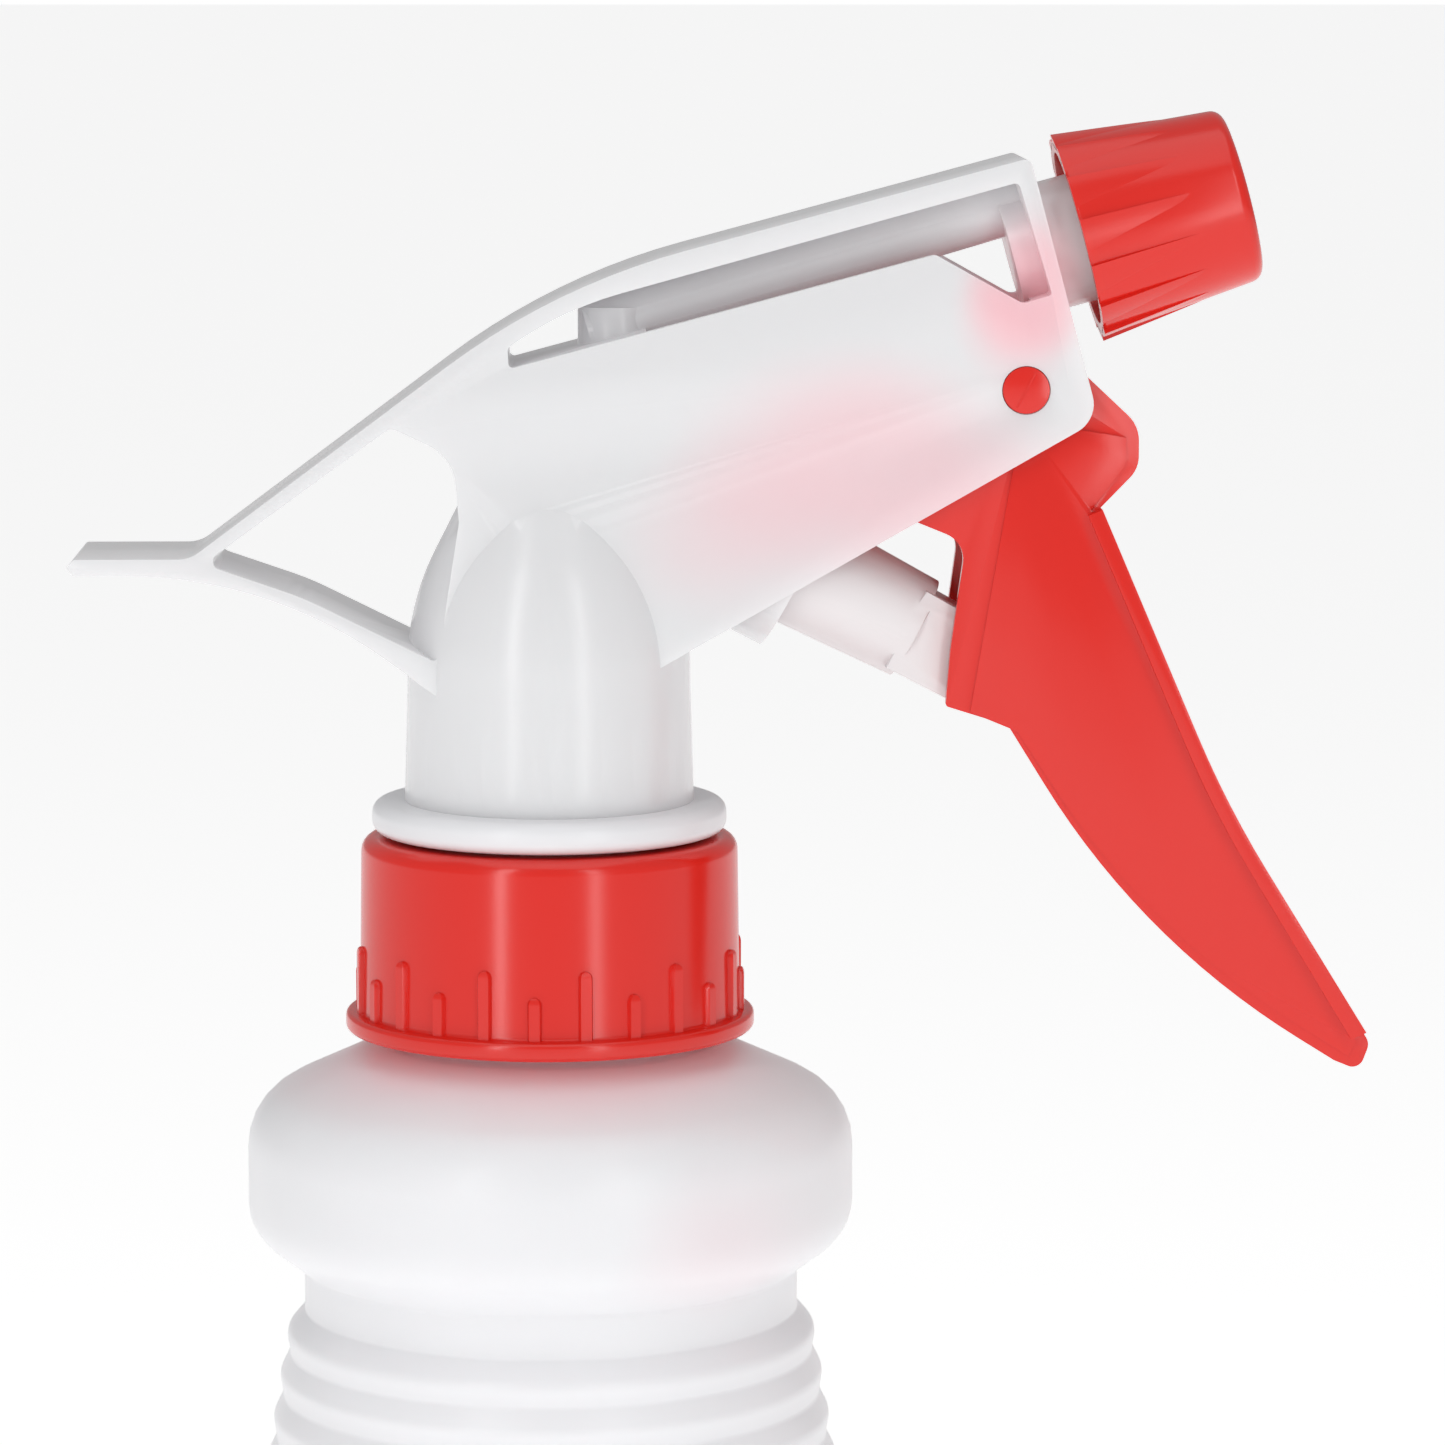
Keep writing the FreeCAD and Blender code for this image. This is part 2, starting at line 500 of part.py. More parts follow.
def make_housing():
    """One moulding: top strip, side plates, hanging loop, skirt and dome, pump cylinder, pipe and spout."""
    housing = new_piece("housing")
    front = "-front_back"
    plate(housing, "slab", [
        on_spout(front, "strip_rise") + ("0.7",),
        on_spout("-44.5", "strip_rise") + ("60",),
        ("-30.6", "41.9", "3"),
        ("-40.5", "41.9", "0.4"),
        ("-41.1", "41.2"),
        ("-40.6", "41.9 - loop_wall - 0.1"),
        ("-23.9", "41.9 - loop_wall - 0.1", "38"),
        ("-9", "29.6"),
        ("9", "32.1"),
        ("47.05", "53.7", "2.7"),
    ], "head_width")
    strut = "loop_wall * 1.24"
    through = "head_width + 2"
    plate(housing, "loop", [
        ("-29.4", f"43.0 - {strut} + 0.1", "0.7"),
        ("-21.0", "39.9 - loop_wall", "26"),
        ("-9.5", "32.9", "0.5"),
        ("-7.6", "45"),
        ("-8.1", "50.6", "4"),
        ("-13.4", f"54.7 - {strut}", "0.8"),
    ], through, cuts=True)
    strip_under = "strip_rise - strip_wall"
    plate_top = "strip_rise - 5.85"
    plate(housing, "window", [
        on_spout("-front_back - 1.5", strip_under) + ("0.5",),
        on_spout("-43.9", f"{strip_under} - 0.35") + ("30",),
        ("-3.4", "59.9", "0.6"),
        ("-3.3", "58.1", "0.4"),
        on_spout("-12.5", plate_top) + ("0.8",),
        ("40.5", "63.6", "1"),
        ("43.0", "64.35", "0.3"),
    ], through, cuts=True)
    plate(housing, "trigger_space", [
        ("8.4", "61.6"), ("8.4", "48"), ("13.5", "33"), ("50", "50.5"), ("50", "62.3"),
        ("41.8", "62.3"), ("41", "64.6"), ("33.5", "68.9"),
    ], "head_width - 2 * plate_wall", cuts=True)
    turned(housing, "dome", [
        ("0", "flange_high"), ("skirt_r", "flange_high"), ("dome_r + 0.1", "30", "20"),
        ("dome_r", "dome_top * 0.745", "22"), ("dome_r * 0.467", "dome_top", "8.5"), ("0", "dome_top")])

    pump = ("pump_x", "pump_z")
    backwards = "180 - pump_tilt"
    end_at = "-pump_mouth + pump_depth + pump_end_wall"
    rod(housing, "cylinder", "-pump_mouth", end_at, "pump_outer_r", pump, backwards)
    riser = ("5.7", "0")
    rod(housing, "riser", "57", "63", "3.1", riser, "90")
    pipe = ("5.7", "61.6")
    pipe_tilt = "spray_tilt + 1.3"
    rod(housing, "pipe", "-2.3", "37.2", "2.5", pipe, pipe_tilt)
    spout = ("spout_x", "spout_z")
    rod(housing, "boss", "-front_back - 3.4", front, "5.2", spout, "spray_tilt")
    rod(housing, "stub", "-front_back - 0.5", "stub_end", "stub_r", spout, "spray_tilt")
    rod(housing, "spout", "stub_end - 0.5", "6.2", "spout_root_r", spout, "spray_tilt")
    rod(housing, "nose", "5.5", "nose_end", "nose_r", spout, "spray_tilt")

    bore_end = "-pump_mouth + pump_depth"
    rod(housing, "pump_bore", "-pump_mouth - 2", bore_end, "pump_bore_r", pump, backwards, cuts=True)
    turned(housing, "socket", [
        ("0", "flange_high - 1"), ("spigot_r + 0.05", "flange_high - 1"),
        ("spigot_r + 0.05", "spigot_top + 0.05"), ("inlet_ball_r + 0.6", "spigot_top + 0.05"),
        ("inlet_ball_r + 0.6", "spigot_top + 3.6"), ("0", "spigot_top + 3.6")], cuts=True)
    rod(housing, "inlet_passage", "spigot_top + 2", "45.5", "passage_r", ("1.9", "0"), "90", cuts=True)
    rod(housing, "riser_bore", "49.2", "61.7", "passage_r", riser, "90", cuts=True)
    rod(housing, "pipe_bore", "0", "36.2", "passage_r", pipe, pipe_tilt, cuts=True)
    drop = on_spout("-front_back - 1.1", "0")
    rod(housing, "drop_bore", "0", "4.6", "passage_r * 0.9", drop, "spray_tilt + 90", cuts=True)
    rod(housing, "outlet_seat_bore", "-front_back - 2", OUTLET_SEAT_AT, "outlet_seat_r", spout,
        "spray_tilt", cuts=True)
    rod(housing, "spout_bore", OUTLET_SEAT_AT, "nose_end + 1", "spout_bore_r", spout, "spray_tilt",
        cuts=True)
    disc(housing, "pivot_hole", "pivot_x", "pivot_z", "boss_r + boss_gap", through, cuts=True)

    thread = outline(housing, "spout_thread_section", [
        ("spout_thread_at - 0.4", "spout_root_r - 0.2"), ("spout_thread_at - 0.12", "spout_root_r + 0.4"),
        ("spout_thread_at + 0.12", "spout_root_r + 0.4"), ("spout_thread_at + 0.4", "spout_root_r - 0.2"),
    ], spout, "spray_tilt")
    add_feature(housing, "PartDesign::AdditiveHelix", "spout_thread", thread, False,
                ReferenceAxis=(thread, ["H_Axis"]), Mode="pitch-height-angle",
                Pitch="cap_pitch", Height="cap_pitch * 2.2")


# ---------------------------------------------------------------- pump pieces

def make_pump():
    """Piston and return spring, in the pump's frame: +Z points out of the cylinder."""
    lean = "90 + pump_tilt"
    piston = new_piece("piston", ("pump_x", "pump_z"), lean)
    lip_r = "pump_bore_r - lip_gap"
    turned(piston, "skirt", [
        ("piston_hollow_r", "-21.9"), (lip_r, "-21.9"), (lip_r, "-20.9"), ("piston_r - 0.2", "-20.1"),
        ("piston_r - 0.2", "-17.4"), (lip_r, "-16.6"), (lip_r, "-15.9"), ("piston_r", "-15.2"),
        ("piston_r - 0.45", "-3"), ("0", "-3"), ("0", "-8.2"), ("piston_hollow_r", "-8.2")])
    plate(piston, "blade", [
        ("-3.6", "-4"), ("3.9", "-4"), ("3.9", "5.4", "1.4"), ("-3.2", "5.4", "1.4")], "blade_width")
    reach = "(push_pin_r + 0.15)"
    plate(piston, "slot", [
        ("-1.7", f"push_pin_at - {reach}", "0.9"), ("3.0", f"push_pin_at - {reach}", "0.9"),
        ("3.0", f"push_pin_at + {reach}", "0.9"), ("-1.7", f"push_pin_at + {reach}", "0.9")],
        "blade_width + 2", cuts=True)

    spring = new_piece("return_spring", ("pump_x", "pump_z"), lean)
    make_coil(spring, "pump_mouth - pump_depth + 0.6", "-8.8", "spring_coil_r", "spring_wire_r", 9)


def make_coil(spring, start, end, coil_r, wire_r, turns):
    """A round wire wound between two heights, which are the centres of the wire."""
    sketch = circle_sketch(spring, "wire", coil_r, start, wire_r)
    rise = f"({end}) - ({start})"
    add_feature(spring, "PartDesign::AdditiveHelix", "coil", sketch, False,
                ReferenceAxis=(sketch, ["V_Axis"]), Mode="pitch-height-angle",
                Pitch=f"({rise}) / {turns}", Height=rise)


# ---------------------------------------------------------------- trigger

def make_trigger():
    """A channel that is open at its back, with a finger face, pivot bosses and the piston's pin."""
    trigger = new_piece("trigger")
    finger_low, finger_high = ("58.3", "20.2"), ("47.3", "45.8")
    tip = ("71.3", "-0.9")
    plate(trigger, "lever", [
        ("36.4", "60.9", "3.8"), ("44.0", "59.3", "2.5"), ("50.7", "53.0", "3"), ("50.7", "49.3", "2.6"),
        finger_high, finger_low + ("90",), tip + ("1.2",), ("70.4", "-3.3", "1"), ("68.2", "-2.4", "0.5"),
        ("51.3", "8.2", "70"), ("39.6", "27.1", "0.8"), ("34.2", "28.8", "0.3"), ("34.6", "33.6"),
        ("35.9", "43.0", "2.4"), ("31.0", "45.0", "2"), ("27.5", "48.6", "2"), ("21.0", "51.4", "0.3"),
        ("21.0", "52.5", "0.3"),
    ], "lever_width - 0.5")
    plate(trigger, "side_faces", [
        ("40.6", "53.5"), ("49.6", "52.0"), ("49.6", "49.6", "2"), ("46.6", "45.8"), ("57.6", "20.2", "90"),
        ("70.2", "-0.6", "0.8"), ("69.4", "-2.0"), ("51.9", "9.0", "70"), ("40.4", "26.6"),
        ("36.3", "28.3"),
    ], "lever_width")
    plate(trigger, "finger_face", [
        ("47.5", "45.9"), ("58.5", "20.2", "90"), ("70.8", "0.3"), ("69.5", "-0.3"), ("57.3", "19.8", "88"),
        ("46.3", "45.4")], "flange_width")
    plate(trigger, "channel", [
        ("37.2", "51.5", "3"), ("44.6", "50.0", "2.5"), ("45.2", "45.2"), ("56.3", "19.2", "87"),
        ("67.3", "1.2", "0.5"), ("60", "-2"), ("49.0", "5.5"), ("36", "22"), ("29", "27"), ("29", "41")],
        "lever_width - 2 * trigger_wall", cuts=True)
    disc(trigger, "bosses", "pivot_x", "pivot_z", "boss_r", "head_width")
    pin_x = "pump_x + push_pin_at * cos(pump_tilt * 1 deg)"
    pin_z = "pump_z - push_pin_at * sin(pump_tilt * 1 deg)"
    disc(trigger, "push_pin", pin_x, pin_z, "push_pin_r", "lever_width - trigger_wall")


# ---------------------------------------------------------------- nozzle

def make_nozzle():
    """Pieces on the spout, in its frame: +Z points out of the spout."""
    spout = ("spout_x", "spout_z")
    lean = "90 - spray_tilt"
    cap = new_piece("nozzle_cap", spout, lean)
    turned(cap, "shell", [
        ("0", "0"), ("cap_back_r - 0.4", "0"), ("cap_front_r", "cap_length", "1"), ("0", "cap_length + 0.15")])
    rib_end = "cap_length * 0.65"
    slope = "(cap_back_r - 0.4 - cap_front_r) / cap_length"
    sketch = outline(cap, "rib_side", [
        ("cap_back_r - 1.4", "0"), ("cap_back_r", "0"),
        (f"cap_back_r - 0.4 - {slope} * {rib_end} - 0.02", rib_end), ("cap_back_r - 2.4", rib_end)])
    rib = add_feature(cap, "PartDesign::Pad", "rib", sketch, False, SideType="Symmetric", Length="1.5")
    round_array(cap, "ribs", rib, "cap_rib_count")
    turned(cap, "recess", [
        ("0", "-1"), ("cap_back_r - 0.4 - cap_wall", "-1"),
        ("cap_front_r - cap_wall + 0.2", "cap_length - 3.2", "0.6"), ("0", "cap_length - 3.2")], cuts=True)
    turned(cap, "sleeve", [
        ("sleeve_bore_r", "stub_end + 0.3"), ("sleeve_r", "stub_end + 0.3"),
        ("sleeve_r", "cap_length - 2.9"), ("sleeve_bore_r", "cap_length - 2.9")])
    turned(cap, "spray_hole", [
        ("0", "cap_length - 5"), ("0.4", "cap_length - 5"), ("0.4", "cap_length - 1.2"),
        ("1.3", "cap_length + 1"), ("0", "cap_length + 1")], cuts=True)
    helix(cap, "thread", tooth("sleeve_bore_r + 0.2", "sleeve_bore_r - 0.42", "spout_thread_at", "0.8", "0.24"),
          "cap_pitch", "cap_pitch * 1.3")

    seal = new_piece("nozzle_seal", spout, lean)
    turned(seal, "ring", [
        ("nose_r + 0.05", "7.4"), ("sleeve_bore_r - 0.05", "7.4"), ("sleeve_bore_r - 0.05", "8.8"),
        ("nose_r + 0.05", "8.8")])

    swirl = new_piece("swirl_insert", spout, lean)
    turned(swirl, "plug", [
        ("0", "6.8"), ("spout_bore_r - 0.03", "6.8"), ("spout_bore_r - 0.03", "nose_end - 0.1"),
        ("0", "nose_end - 0.1")])
    slot = outline(swirl, "slot_face", [
        ("spout_bore_r - 0.6", "6"), ("spout_bore_r + 0.5", "6"), ("spout_bore_r + 0.5", "nose_end"),
        ("spout_bore_r - 0.6", "nose_end")])
    cut = add_feature(swirl, "PartDesign::Pocket", "slot", slot, True, SideType="Symmetric", Length="0.8")
    round_array(swirl, "slots", cut, "3")

    spring = new_piece("outlet_spring", spout, lean)
    make_coil(spring, f"{OUTLET_BALL_AT} + outlet_ball_r + 0.1", "6.55", "1.5", "0.18", 6)


# ---------------------------------------------------------------- build, check and write

make_bottle()
make_collar()
make_valve_base()
make_balls()
make_housing()
make_pump()
make_trigger()
make_nozzle()
doc.recompute()

for item in doc.Objects:
    if {"Invalid", "Error"} & set(item.State):
        raise RuntimeError(f"{item.Label} failed: {item.State}")
os.makedirs("parts", exist_ok=True)
for piece in pieces:
    shape = piece.Shape
    if shape.isNull() or not shape.isValid() or len(shape.Solids) != 1:
        raise RuntimeError(f"{piece.Label}: not one valid solid")
for piece in pieces:
    piece.Shape.exportStep(f"parts/{piece.Label}.step")
    box = piece.Shape.BoundBox
    print(f"{piece.Label}: {piece.Shape.Volume:.1f} mm3, z {box.ZMin:.2f} to {box.ZMax:.2f}")
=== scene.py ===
"""The looks of a trigger spray bottle: moulded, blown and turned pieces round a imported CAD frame."""
import json
import math

import bmesh
import bpy
from mathutils import Matrix, Vector


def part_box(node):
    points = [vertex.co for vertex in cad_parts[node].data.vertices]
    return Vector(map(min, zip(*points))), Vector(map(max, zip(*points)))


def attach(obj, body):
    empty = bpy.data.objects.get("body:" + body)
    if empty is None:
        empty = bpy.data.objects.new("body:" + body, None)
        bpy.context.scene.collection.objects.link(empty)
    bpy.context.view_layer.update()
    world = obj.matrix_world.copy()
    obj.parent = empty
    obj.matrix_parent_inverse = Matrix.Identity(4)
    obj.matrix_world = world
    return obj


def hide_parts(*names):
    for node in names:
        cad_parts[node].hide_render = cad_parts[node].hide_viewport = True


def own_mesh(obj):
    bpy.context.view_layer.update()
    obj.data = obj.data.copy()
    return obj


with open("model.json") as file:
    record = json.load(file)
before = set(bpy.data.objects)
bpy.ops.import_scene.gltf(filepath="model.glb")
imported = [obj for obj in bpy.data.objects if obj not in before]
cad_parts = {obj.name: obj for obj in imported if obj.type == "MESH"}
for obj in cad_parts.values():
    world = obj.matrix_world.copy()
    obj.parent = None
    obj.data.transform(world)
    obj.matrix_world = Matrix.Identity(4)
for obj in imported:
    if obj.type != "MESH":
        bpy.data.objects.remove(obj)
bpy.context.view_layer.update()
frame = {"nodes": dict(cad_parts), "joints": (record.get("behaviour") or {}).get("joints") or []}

bl_info = {
    "name": "Spray bottle",
    "version": (1, 0, 0),
    "blender": (4, 5, 0),
    "location": "View3D > Sidebar > Spray bottle",
    "description": "Builds the visible pieces of a trigger spray bottle round its CAD frame",
    "category": "Object",
}

MM = 0.001
JOINTS = {joint["name"]: joint for joint in frame["joints"]}
COLLAR_LOW, COLLAR_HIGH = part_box("collar")
NECK_Z = COLLAR_LOW.z
SPOUT_AT = Vector(JOINTS["nozzle_turn"]["pos_m"])
SPOUT_AXIS = Vector(JOINTS["nozzle_turn"]["axis"])
PIVOT = Vector(JOINTS["trigger_pull"]["pos_m"])

# The neck thread, in millimetres: rise per turn, and half widths of its ridge at root and crest.
THREAD_PITCH, THREAD_ROOT, THREAD_CREST = 4.233, 1.1, 0.55
WELD = 2e-6          # CAD points nearer than this are one point
GRAIN_DEPTH = 0.0004  # height of the fine grain in a plastic's bump
SCATTER_DEPTH = 0.003  # how far light spreads inside a white or milky wall


# ---------------------------------------------------------------- settings

def length(label, text, value):
    return bpy.props.FloatProperty(name=label, description=text, default=value, min=0.0, precision=5,
                                   subtype="DISTANCE", unit="LENGTH")


def number(label, text, value, least):
    return bpy.props.IntProperty(name=label, description=text, default=value, min=least)


def slant(label, text, degrees):
    return bpy.props.FloatProperty(name=label, description=text, default=math.radians(degrees),
                                   subtype="ANGLE", unit="ROTATION")


def colour(label, text, value):
    return bpy.props.FloatVectorProperty(name=label, description=text, default=value, size=3, min=0.0,
                                         max=1.0, subtype="COLOR")


class SprayBottleShell(bpy.types.PropertyGroup):
    wall: length("Wall", "Thickness of the blown wall", 1.1 * MM)
    shoulder_r: length("Bulge radius", "Radius of the bulge under the collar", 26.5 * MM)
    band_r: length("Band radius", "Radius of the smooth band under the bulge", 21.65 * MM)
    ring_count: number("Grip rings", "Number of grip rings", 9, 1)
    ring_pitch: length("Ring pitch", "Spacing of the grip rings", 3.83 * MM)
    ring_r: length("First ring radius", "Crest radius of the upper grip ring", 23.15 * MM)
    ring_growth: length("Ring growth", "How much wider each lower ring is", 0.62 * MM)
    ring_depth: length("Ring depth", "Depth of the groove between two rings", 0.95 * MM)


class SprayCollar(bpy.types.PropertyGroup):
    top_r: length("Radius", "Outer radius at the top", 16.4 * MM)
    flange_r: length("Flange radius", "Radius of the lower flange", 17.85 * MM)
    rib_count: number("Long ribs", "Number of long ribs", 12, 3)
    rib_width: length("Rib width", "Width of a grip rib", 1.3 * MM)
    rib_proud: length("Rib height", "How far a grip rib stands out", 0.6 * MM)
    long_top: length("Long rib top", "Height of the long ribs", 7.6 * MM)
    short_top: length("Short rib top", "Height of the short ribs", 5.4 * MM)
    phase: slant("Rib phase", "Angle of the first long rib", 10.6)


class SprayNozzle(bpy.types.PropertyGroup):
    back_r: length("Back radius", "Radius of the cap's back rim", 8.8 * MM)
    front_r: length("Front radius", "Radius of the cap's front", 7.5 * MM)
    long: length("Length", "Length of the cap", 14.7 * MM)
    rib_count: number("Grip ribs", "Number of saw-tooth ribs", 14, 3)
    rib_proud: length("Rib height", "How far a rib stands out at the back", 0.4 * MM)


class SprayPlastics(bpy.types.PropertyGroup):
    red: colour("Red", "Colour of collar, trigger and nozzle cap", (0.70, 0.003, 0.0))
    white: colour("White", "Colour of the head's white moulding", (0.72, 0.725, 0.735))
    milky: colour("Milky", "Colour of the blown bottle", (0.84, 0.84, 0.86))
    # Colour of the painted glow: red light shining through white walls, painted into their base colour.
    painted_glow: colour("Red_glow", "Tint where red pieces shine through white walls", (0.90, 0.47, 0.52))


class SprayStage(bpy.types.PropertyGroup):
    distance: length("Camera distance", "Distance from the camera to the point it looks at", 0.520)
    pitch: slant("Camera pitch", "How far the camera looks down", 7.6)
    swing: slant("Camera swing", "How far the camera stands to the back", 1.5)
    ambient: bpy.props.FloatProperty(name="Ambient", description="Strength of the room's even light",
                                     default=0.36, min=0.0)
    floor_glow: bpy.props.FloatProperty(name="Floor glow", description="Light the floor gives by itself",
                                        default=0.62, min=0.0)
    key: bpy.props.FloatProperty(name="Key", description="Power of the left strip in watts", default=1.7)
    fill: bpy.props.FloatProperty(name="Fill", description="Power of the right strip in watts", default=1.3)
    top: bpy.props.FloatProperty(name="Top", description="Power of the top light in watts", default=1.8)
    lens: bpy.props.FloatProperty(name="Lens", description="Focal length in millimetres", default=148.7)


SETTINGS = {"spray_shell": SprayBottleShell, "spray_collar": SprayCollar, "spray_nozzle": SprayNozzle,
            "spray_plastics": SprayPlastics, "spray_stage": SprayStage}


# ---------------------------------------------------------------- meshes

def rounded(corners, steps=6):
    """A profile of (radius, height) points from corners (radius, height[, rounding]), in millimetres.

    A rounding takes less than half of each edge beside it. A corner that hardly turns is left alone.
    """
    straight, most = math.radians(89.5), 0.49
    points = [Vector((corner[0], corner[1])) for corner in corners]
    result = []
    for index, corner in enumerate(corners):
        here = points[index]
        if len(corner) == 2 or index in (0, len(corners) - 1):
            result.append(here)
            continue
        before, after = points[index - 1] - here, points[index + 1] - here
        half = before.angle(after) / 2
        if half > straight:
            result.append(here)
            continue
        reach = min(corner[2] / math.tan(half), most * before.length, most * after.length)
        before.normalize()
        after.normalize()
        rounding = reach * math.tan(half)
        centre = here + (before + after).normalized() * (rounding / math.sin(half))
        start = here + before * reach - centre
        end = here + after * reach - centre
        sweep = math.atan2(start.x * end.y - start.y * end.x, start.dot(end))
        for step in range(steps + 1):
            angle = sweep * step / steps
            result.append(centre + Vector((start.x * math.cos(angle) - start.y * math.sin(angle),
                                           start.x * math.sin(angle) + start.y * math.cos(angle))))
    return result


def link(name, mesh):
    """A new object at the origin that holds the mesh."""
    piece = bpy.data.objects.new(name, mesh)
    bpy.context.scene.collection.objects.link(piece)
    return piece


def smooth(piece, angle=35):
    """Smooth shading, with creases kept where faces meet at more than the angle."""
    mesh = piece.data
    limit = math.radians(angle)
    work = bmesh.new()
    work.from_mesh(mesh)
    for face in work.faces:
        face.smooth = True
    for edge in work.edges:
        edge.smooth = not (edge.is_manifold and edge.calc_face_angle(0) > limit)
    work.to_mesh(mesh)
    work.free()


def lathe(name, profile, segments, at=Matrix.Identity(4), closed=True):
    """Turn a millimetre profile round +Z.

    A closed profile makes a ring. An open one starts and ends on the axis.
    """
    work = bmesh.new()
    columns = []
    for index in range(segments):
        angle = 2 * math.pi * index / segments
        columns.append([work.verts.new((p.x * MM * math.cos(angle), p.x * MM * math.sin(angle), p.y * MM))
                        for p in profile])
    count = len(profile)
    for index in range(segments):
        left, right = columns[index], columns[(index + 1) % segments]
        for row in range(count if closed else count - 1):
            on = (row + 1) % count
            work.faces.new((left[row], right[row], right[on], left[on]))
    bmesh.ops.remove_doubles(work, verts=work.verts, dist=1e-7)
    bmesh.ops.recalc_face_normals(work, faces=work.faces)
    mesh = bpy.data.meshes.new(name)
    work.to_mesh(mesh)
    work.free()
    mesh.transform(at)
    piece = link(name, mesh)
    smooth(piece)
    return piece


def loft(name, work, rows):
    """Close rows of bmesh points into a tube with two end faces, as a mesh, and free the bmesh."""
    for low, high in zip(rows, rows[1:]):
        count = len(low)
        for side in range(count):
            on = (side + 1) % count
            work.faces.new((low[side], low[on], high[on], high[side]))
    work.faces.new(rows[0])
    work.faces.new(rows[-1])
    bmesh.ops.recalc_face_normals(work, faces=work.faces)
    mesh = bpy.data.meshes.new(name)
    work.to_mesh(mesh)
    work.free()
    return link(name, mesh)


def helix_ridge(name, root, crest, start, turns):
    """A closed thread ridge, in millimetres, wound upwards and to the right round +Z, with faded ends."""
    section = [(root, -THREAD_ROOT), (crest, -THREAD_CREST), (crest, THREAD_CREST), (root, THREAD_ROOT)]
    steps_per_turn, fade, thinnest = 72, 12, 0.15
    steps = int(steps_per_turn * turns)
    work = bmesh.new()
    rows = []
    for step in range(steps + 1):
        angle = 2 * math.pi * turns * step / steps
        rise = start + THREAD_PITCH * turns * step / steps
        share = min(1.0, step / fade, (steps - step) / fade)
        share = thinnest + (1 - thinnest) * share
        row = []
        for radius, high in section:
            radius = root + (radius - root) * share
            row.append(work.verts.new((radius * math.cos(angle) * MM, radius * math.sin(angle) * MM,
                                       (rise + high) * MM)))
        rows.append(row)
    piece = loft(name, work, rows)
    smooth(piece)
    return piece


def moulding(name, node, edge):
    """A CAD node's mesh with its triangles merged and its sharp edges rounded as a mould leaves them."""
    mesh = frame["nodes"][node].data.copy()
    mesh.name = name
    work = bmesh.new()
    work.from_mesh(mesh)
    bmesh.ops.remove_doubles(work, verts=work.verts, dist=WELD)
    bmesh.ops.dissolve_degenerate(work, edges=work.edges, dist=1e-6)
    bmesh.ops.dissolve_limit(work, angle_limit=math.radians(0.6), verts=work.verts, edges=work.edges)
    work.to_mesh(mesh)
    work.free()
    mesh.materials.clear()
    piece = link(name, mesh)
    bevel = piece.modifiers.new("edges", "BEVEL")
    bevel.width = edge * MM
    bevel.segments = 2
    bevel.limit_method = "ANGLE"
    bevel.angle_limit = math.radians(38)
    bevel.use_clamp_overlap = True
    bevel.miter_outer = "MITER_ARC"
    bake_modifiers(piece)
    smooth(piece, 32)
    return piece


def bake_modifiers(piece):
    """Turn the evaluated object into its own plain mesh, and drop the modifiers."""
    graph = bpy.context.evaluated_depsgraph_get()
    mesh = bpy.data.meshes.new_from_object(piece.evaluated_get(graph), depsgraph=graph)
    piece.modifiers.clear()
    piece.data = mesh


def along(axis, at):
    """The place of a frame whose +Z points along the axis, with its +Y kept."""
    z = axis.normalized()
    y = Vector((0, 1, 0))
    x = y.cross(z).normalized()
    return Matrix.Translation(at) @ Matrix((x, y, z)).transposed().to_4x4()


def maths(nodes, kind, operation):
    """A new maths node of the kind, set to the operation."""
    node = nodes.new(kind)
    node.operation = operation
    return node


def ring_array(name, seed, count, phase, material):
    """Geometry Nodes that stand copies of a seed mesh in a ring round +Z."""
    tree = bpy.data.node_groups.new(name + "_ring", "GeometryNodeTree")
    tree.interface.new_socket("Seed", in_out="INPUT", socket_type="NodeSocketGeometry")
    count_in = tree.interface.new_socket("Count", in_out="INPUT", socket_type="NodeSocketInt")
    phase_in = tree.interface.new_socket("Phase", in_out="INPUT", socket_type="NodeSocketFloat")
    tree.interface.new_socket("Ring", in_out="OUTPUT", socket_type="NodeSocketGeometry")
    nodes, links = tree.nodes, tree.links
    entry, leave = nodes.new("NodeGroupInput"), nodes.new("NodeGroupOutput")
    points = nodes.new("GeometryNodePoints")
    index = nodes.new("GeometryNodeInputIndex")
    part = maths(nodes, "ShaderNodeMath", "DIVIDE")
    turn = maths(nodes, "ShaderNodeMath", "MULTIPLY_ADD")
    turn.inputs[1].default_value = 2 * math.pi
    rotation = nodes.new("ShaderNodeCombineXYZ")
    copies = nodes.new("GeometryNodeInstanceOnPoints")
    real = nodes.new("GeometryNodeRealizeInstances")
    finish = nodes.new("GeometryNodeSetMaterial")
    finish.inputs["Material"].default_value = material
    links.new(entry.outputs["Count"], points.inputs["Count"])
    links.new(index.outputs[0], part.inputs[0])
    links.new(entry.outputs["Count"], part.inputs[1])
    links.new(part.outputs[0], turn.inputs[0])
    links.new(entry.outputs["Phase"], turn.inputs[2])
    links.new(turn.outputs[0], rotation.inputs["Z"])
    links.new(points.outputs[0], copies.inputs["Points"])
    links.new(entry.outputs["Seed"], copies.inputs["Instance"])
    links.new(rotation.outputs[0], copies.inputs["Rotation"])
    links.new(copies.outputs[0], real.inputs[0])
    links.new(real.outputs[0], finish.inputs["Geometry"])
    links.new(finish.outputs["Geometry"], leave.inputs[0])
    ring = seed.modifiers.new("ring", "NODES")
    ring.node_group = tree
    ring[count_in.identifier] = count
    ring[phase_in.identifier] = phase
    bake_modifiers(seed)


# ---------------------------------------------------------------- materials

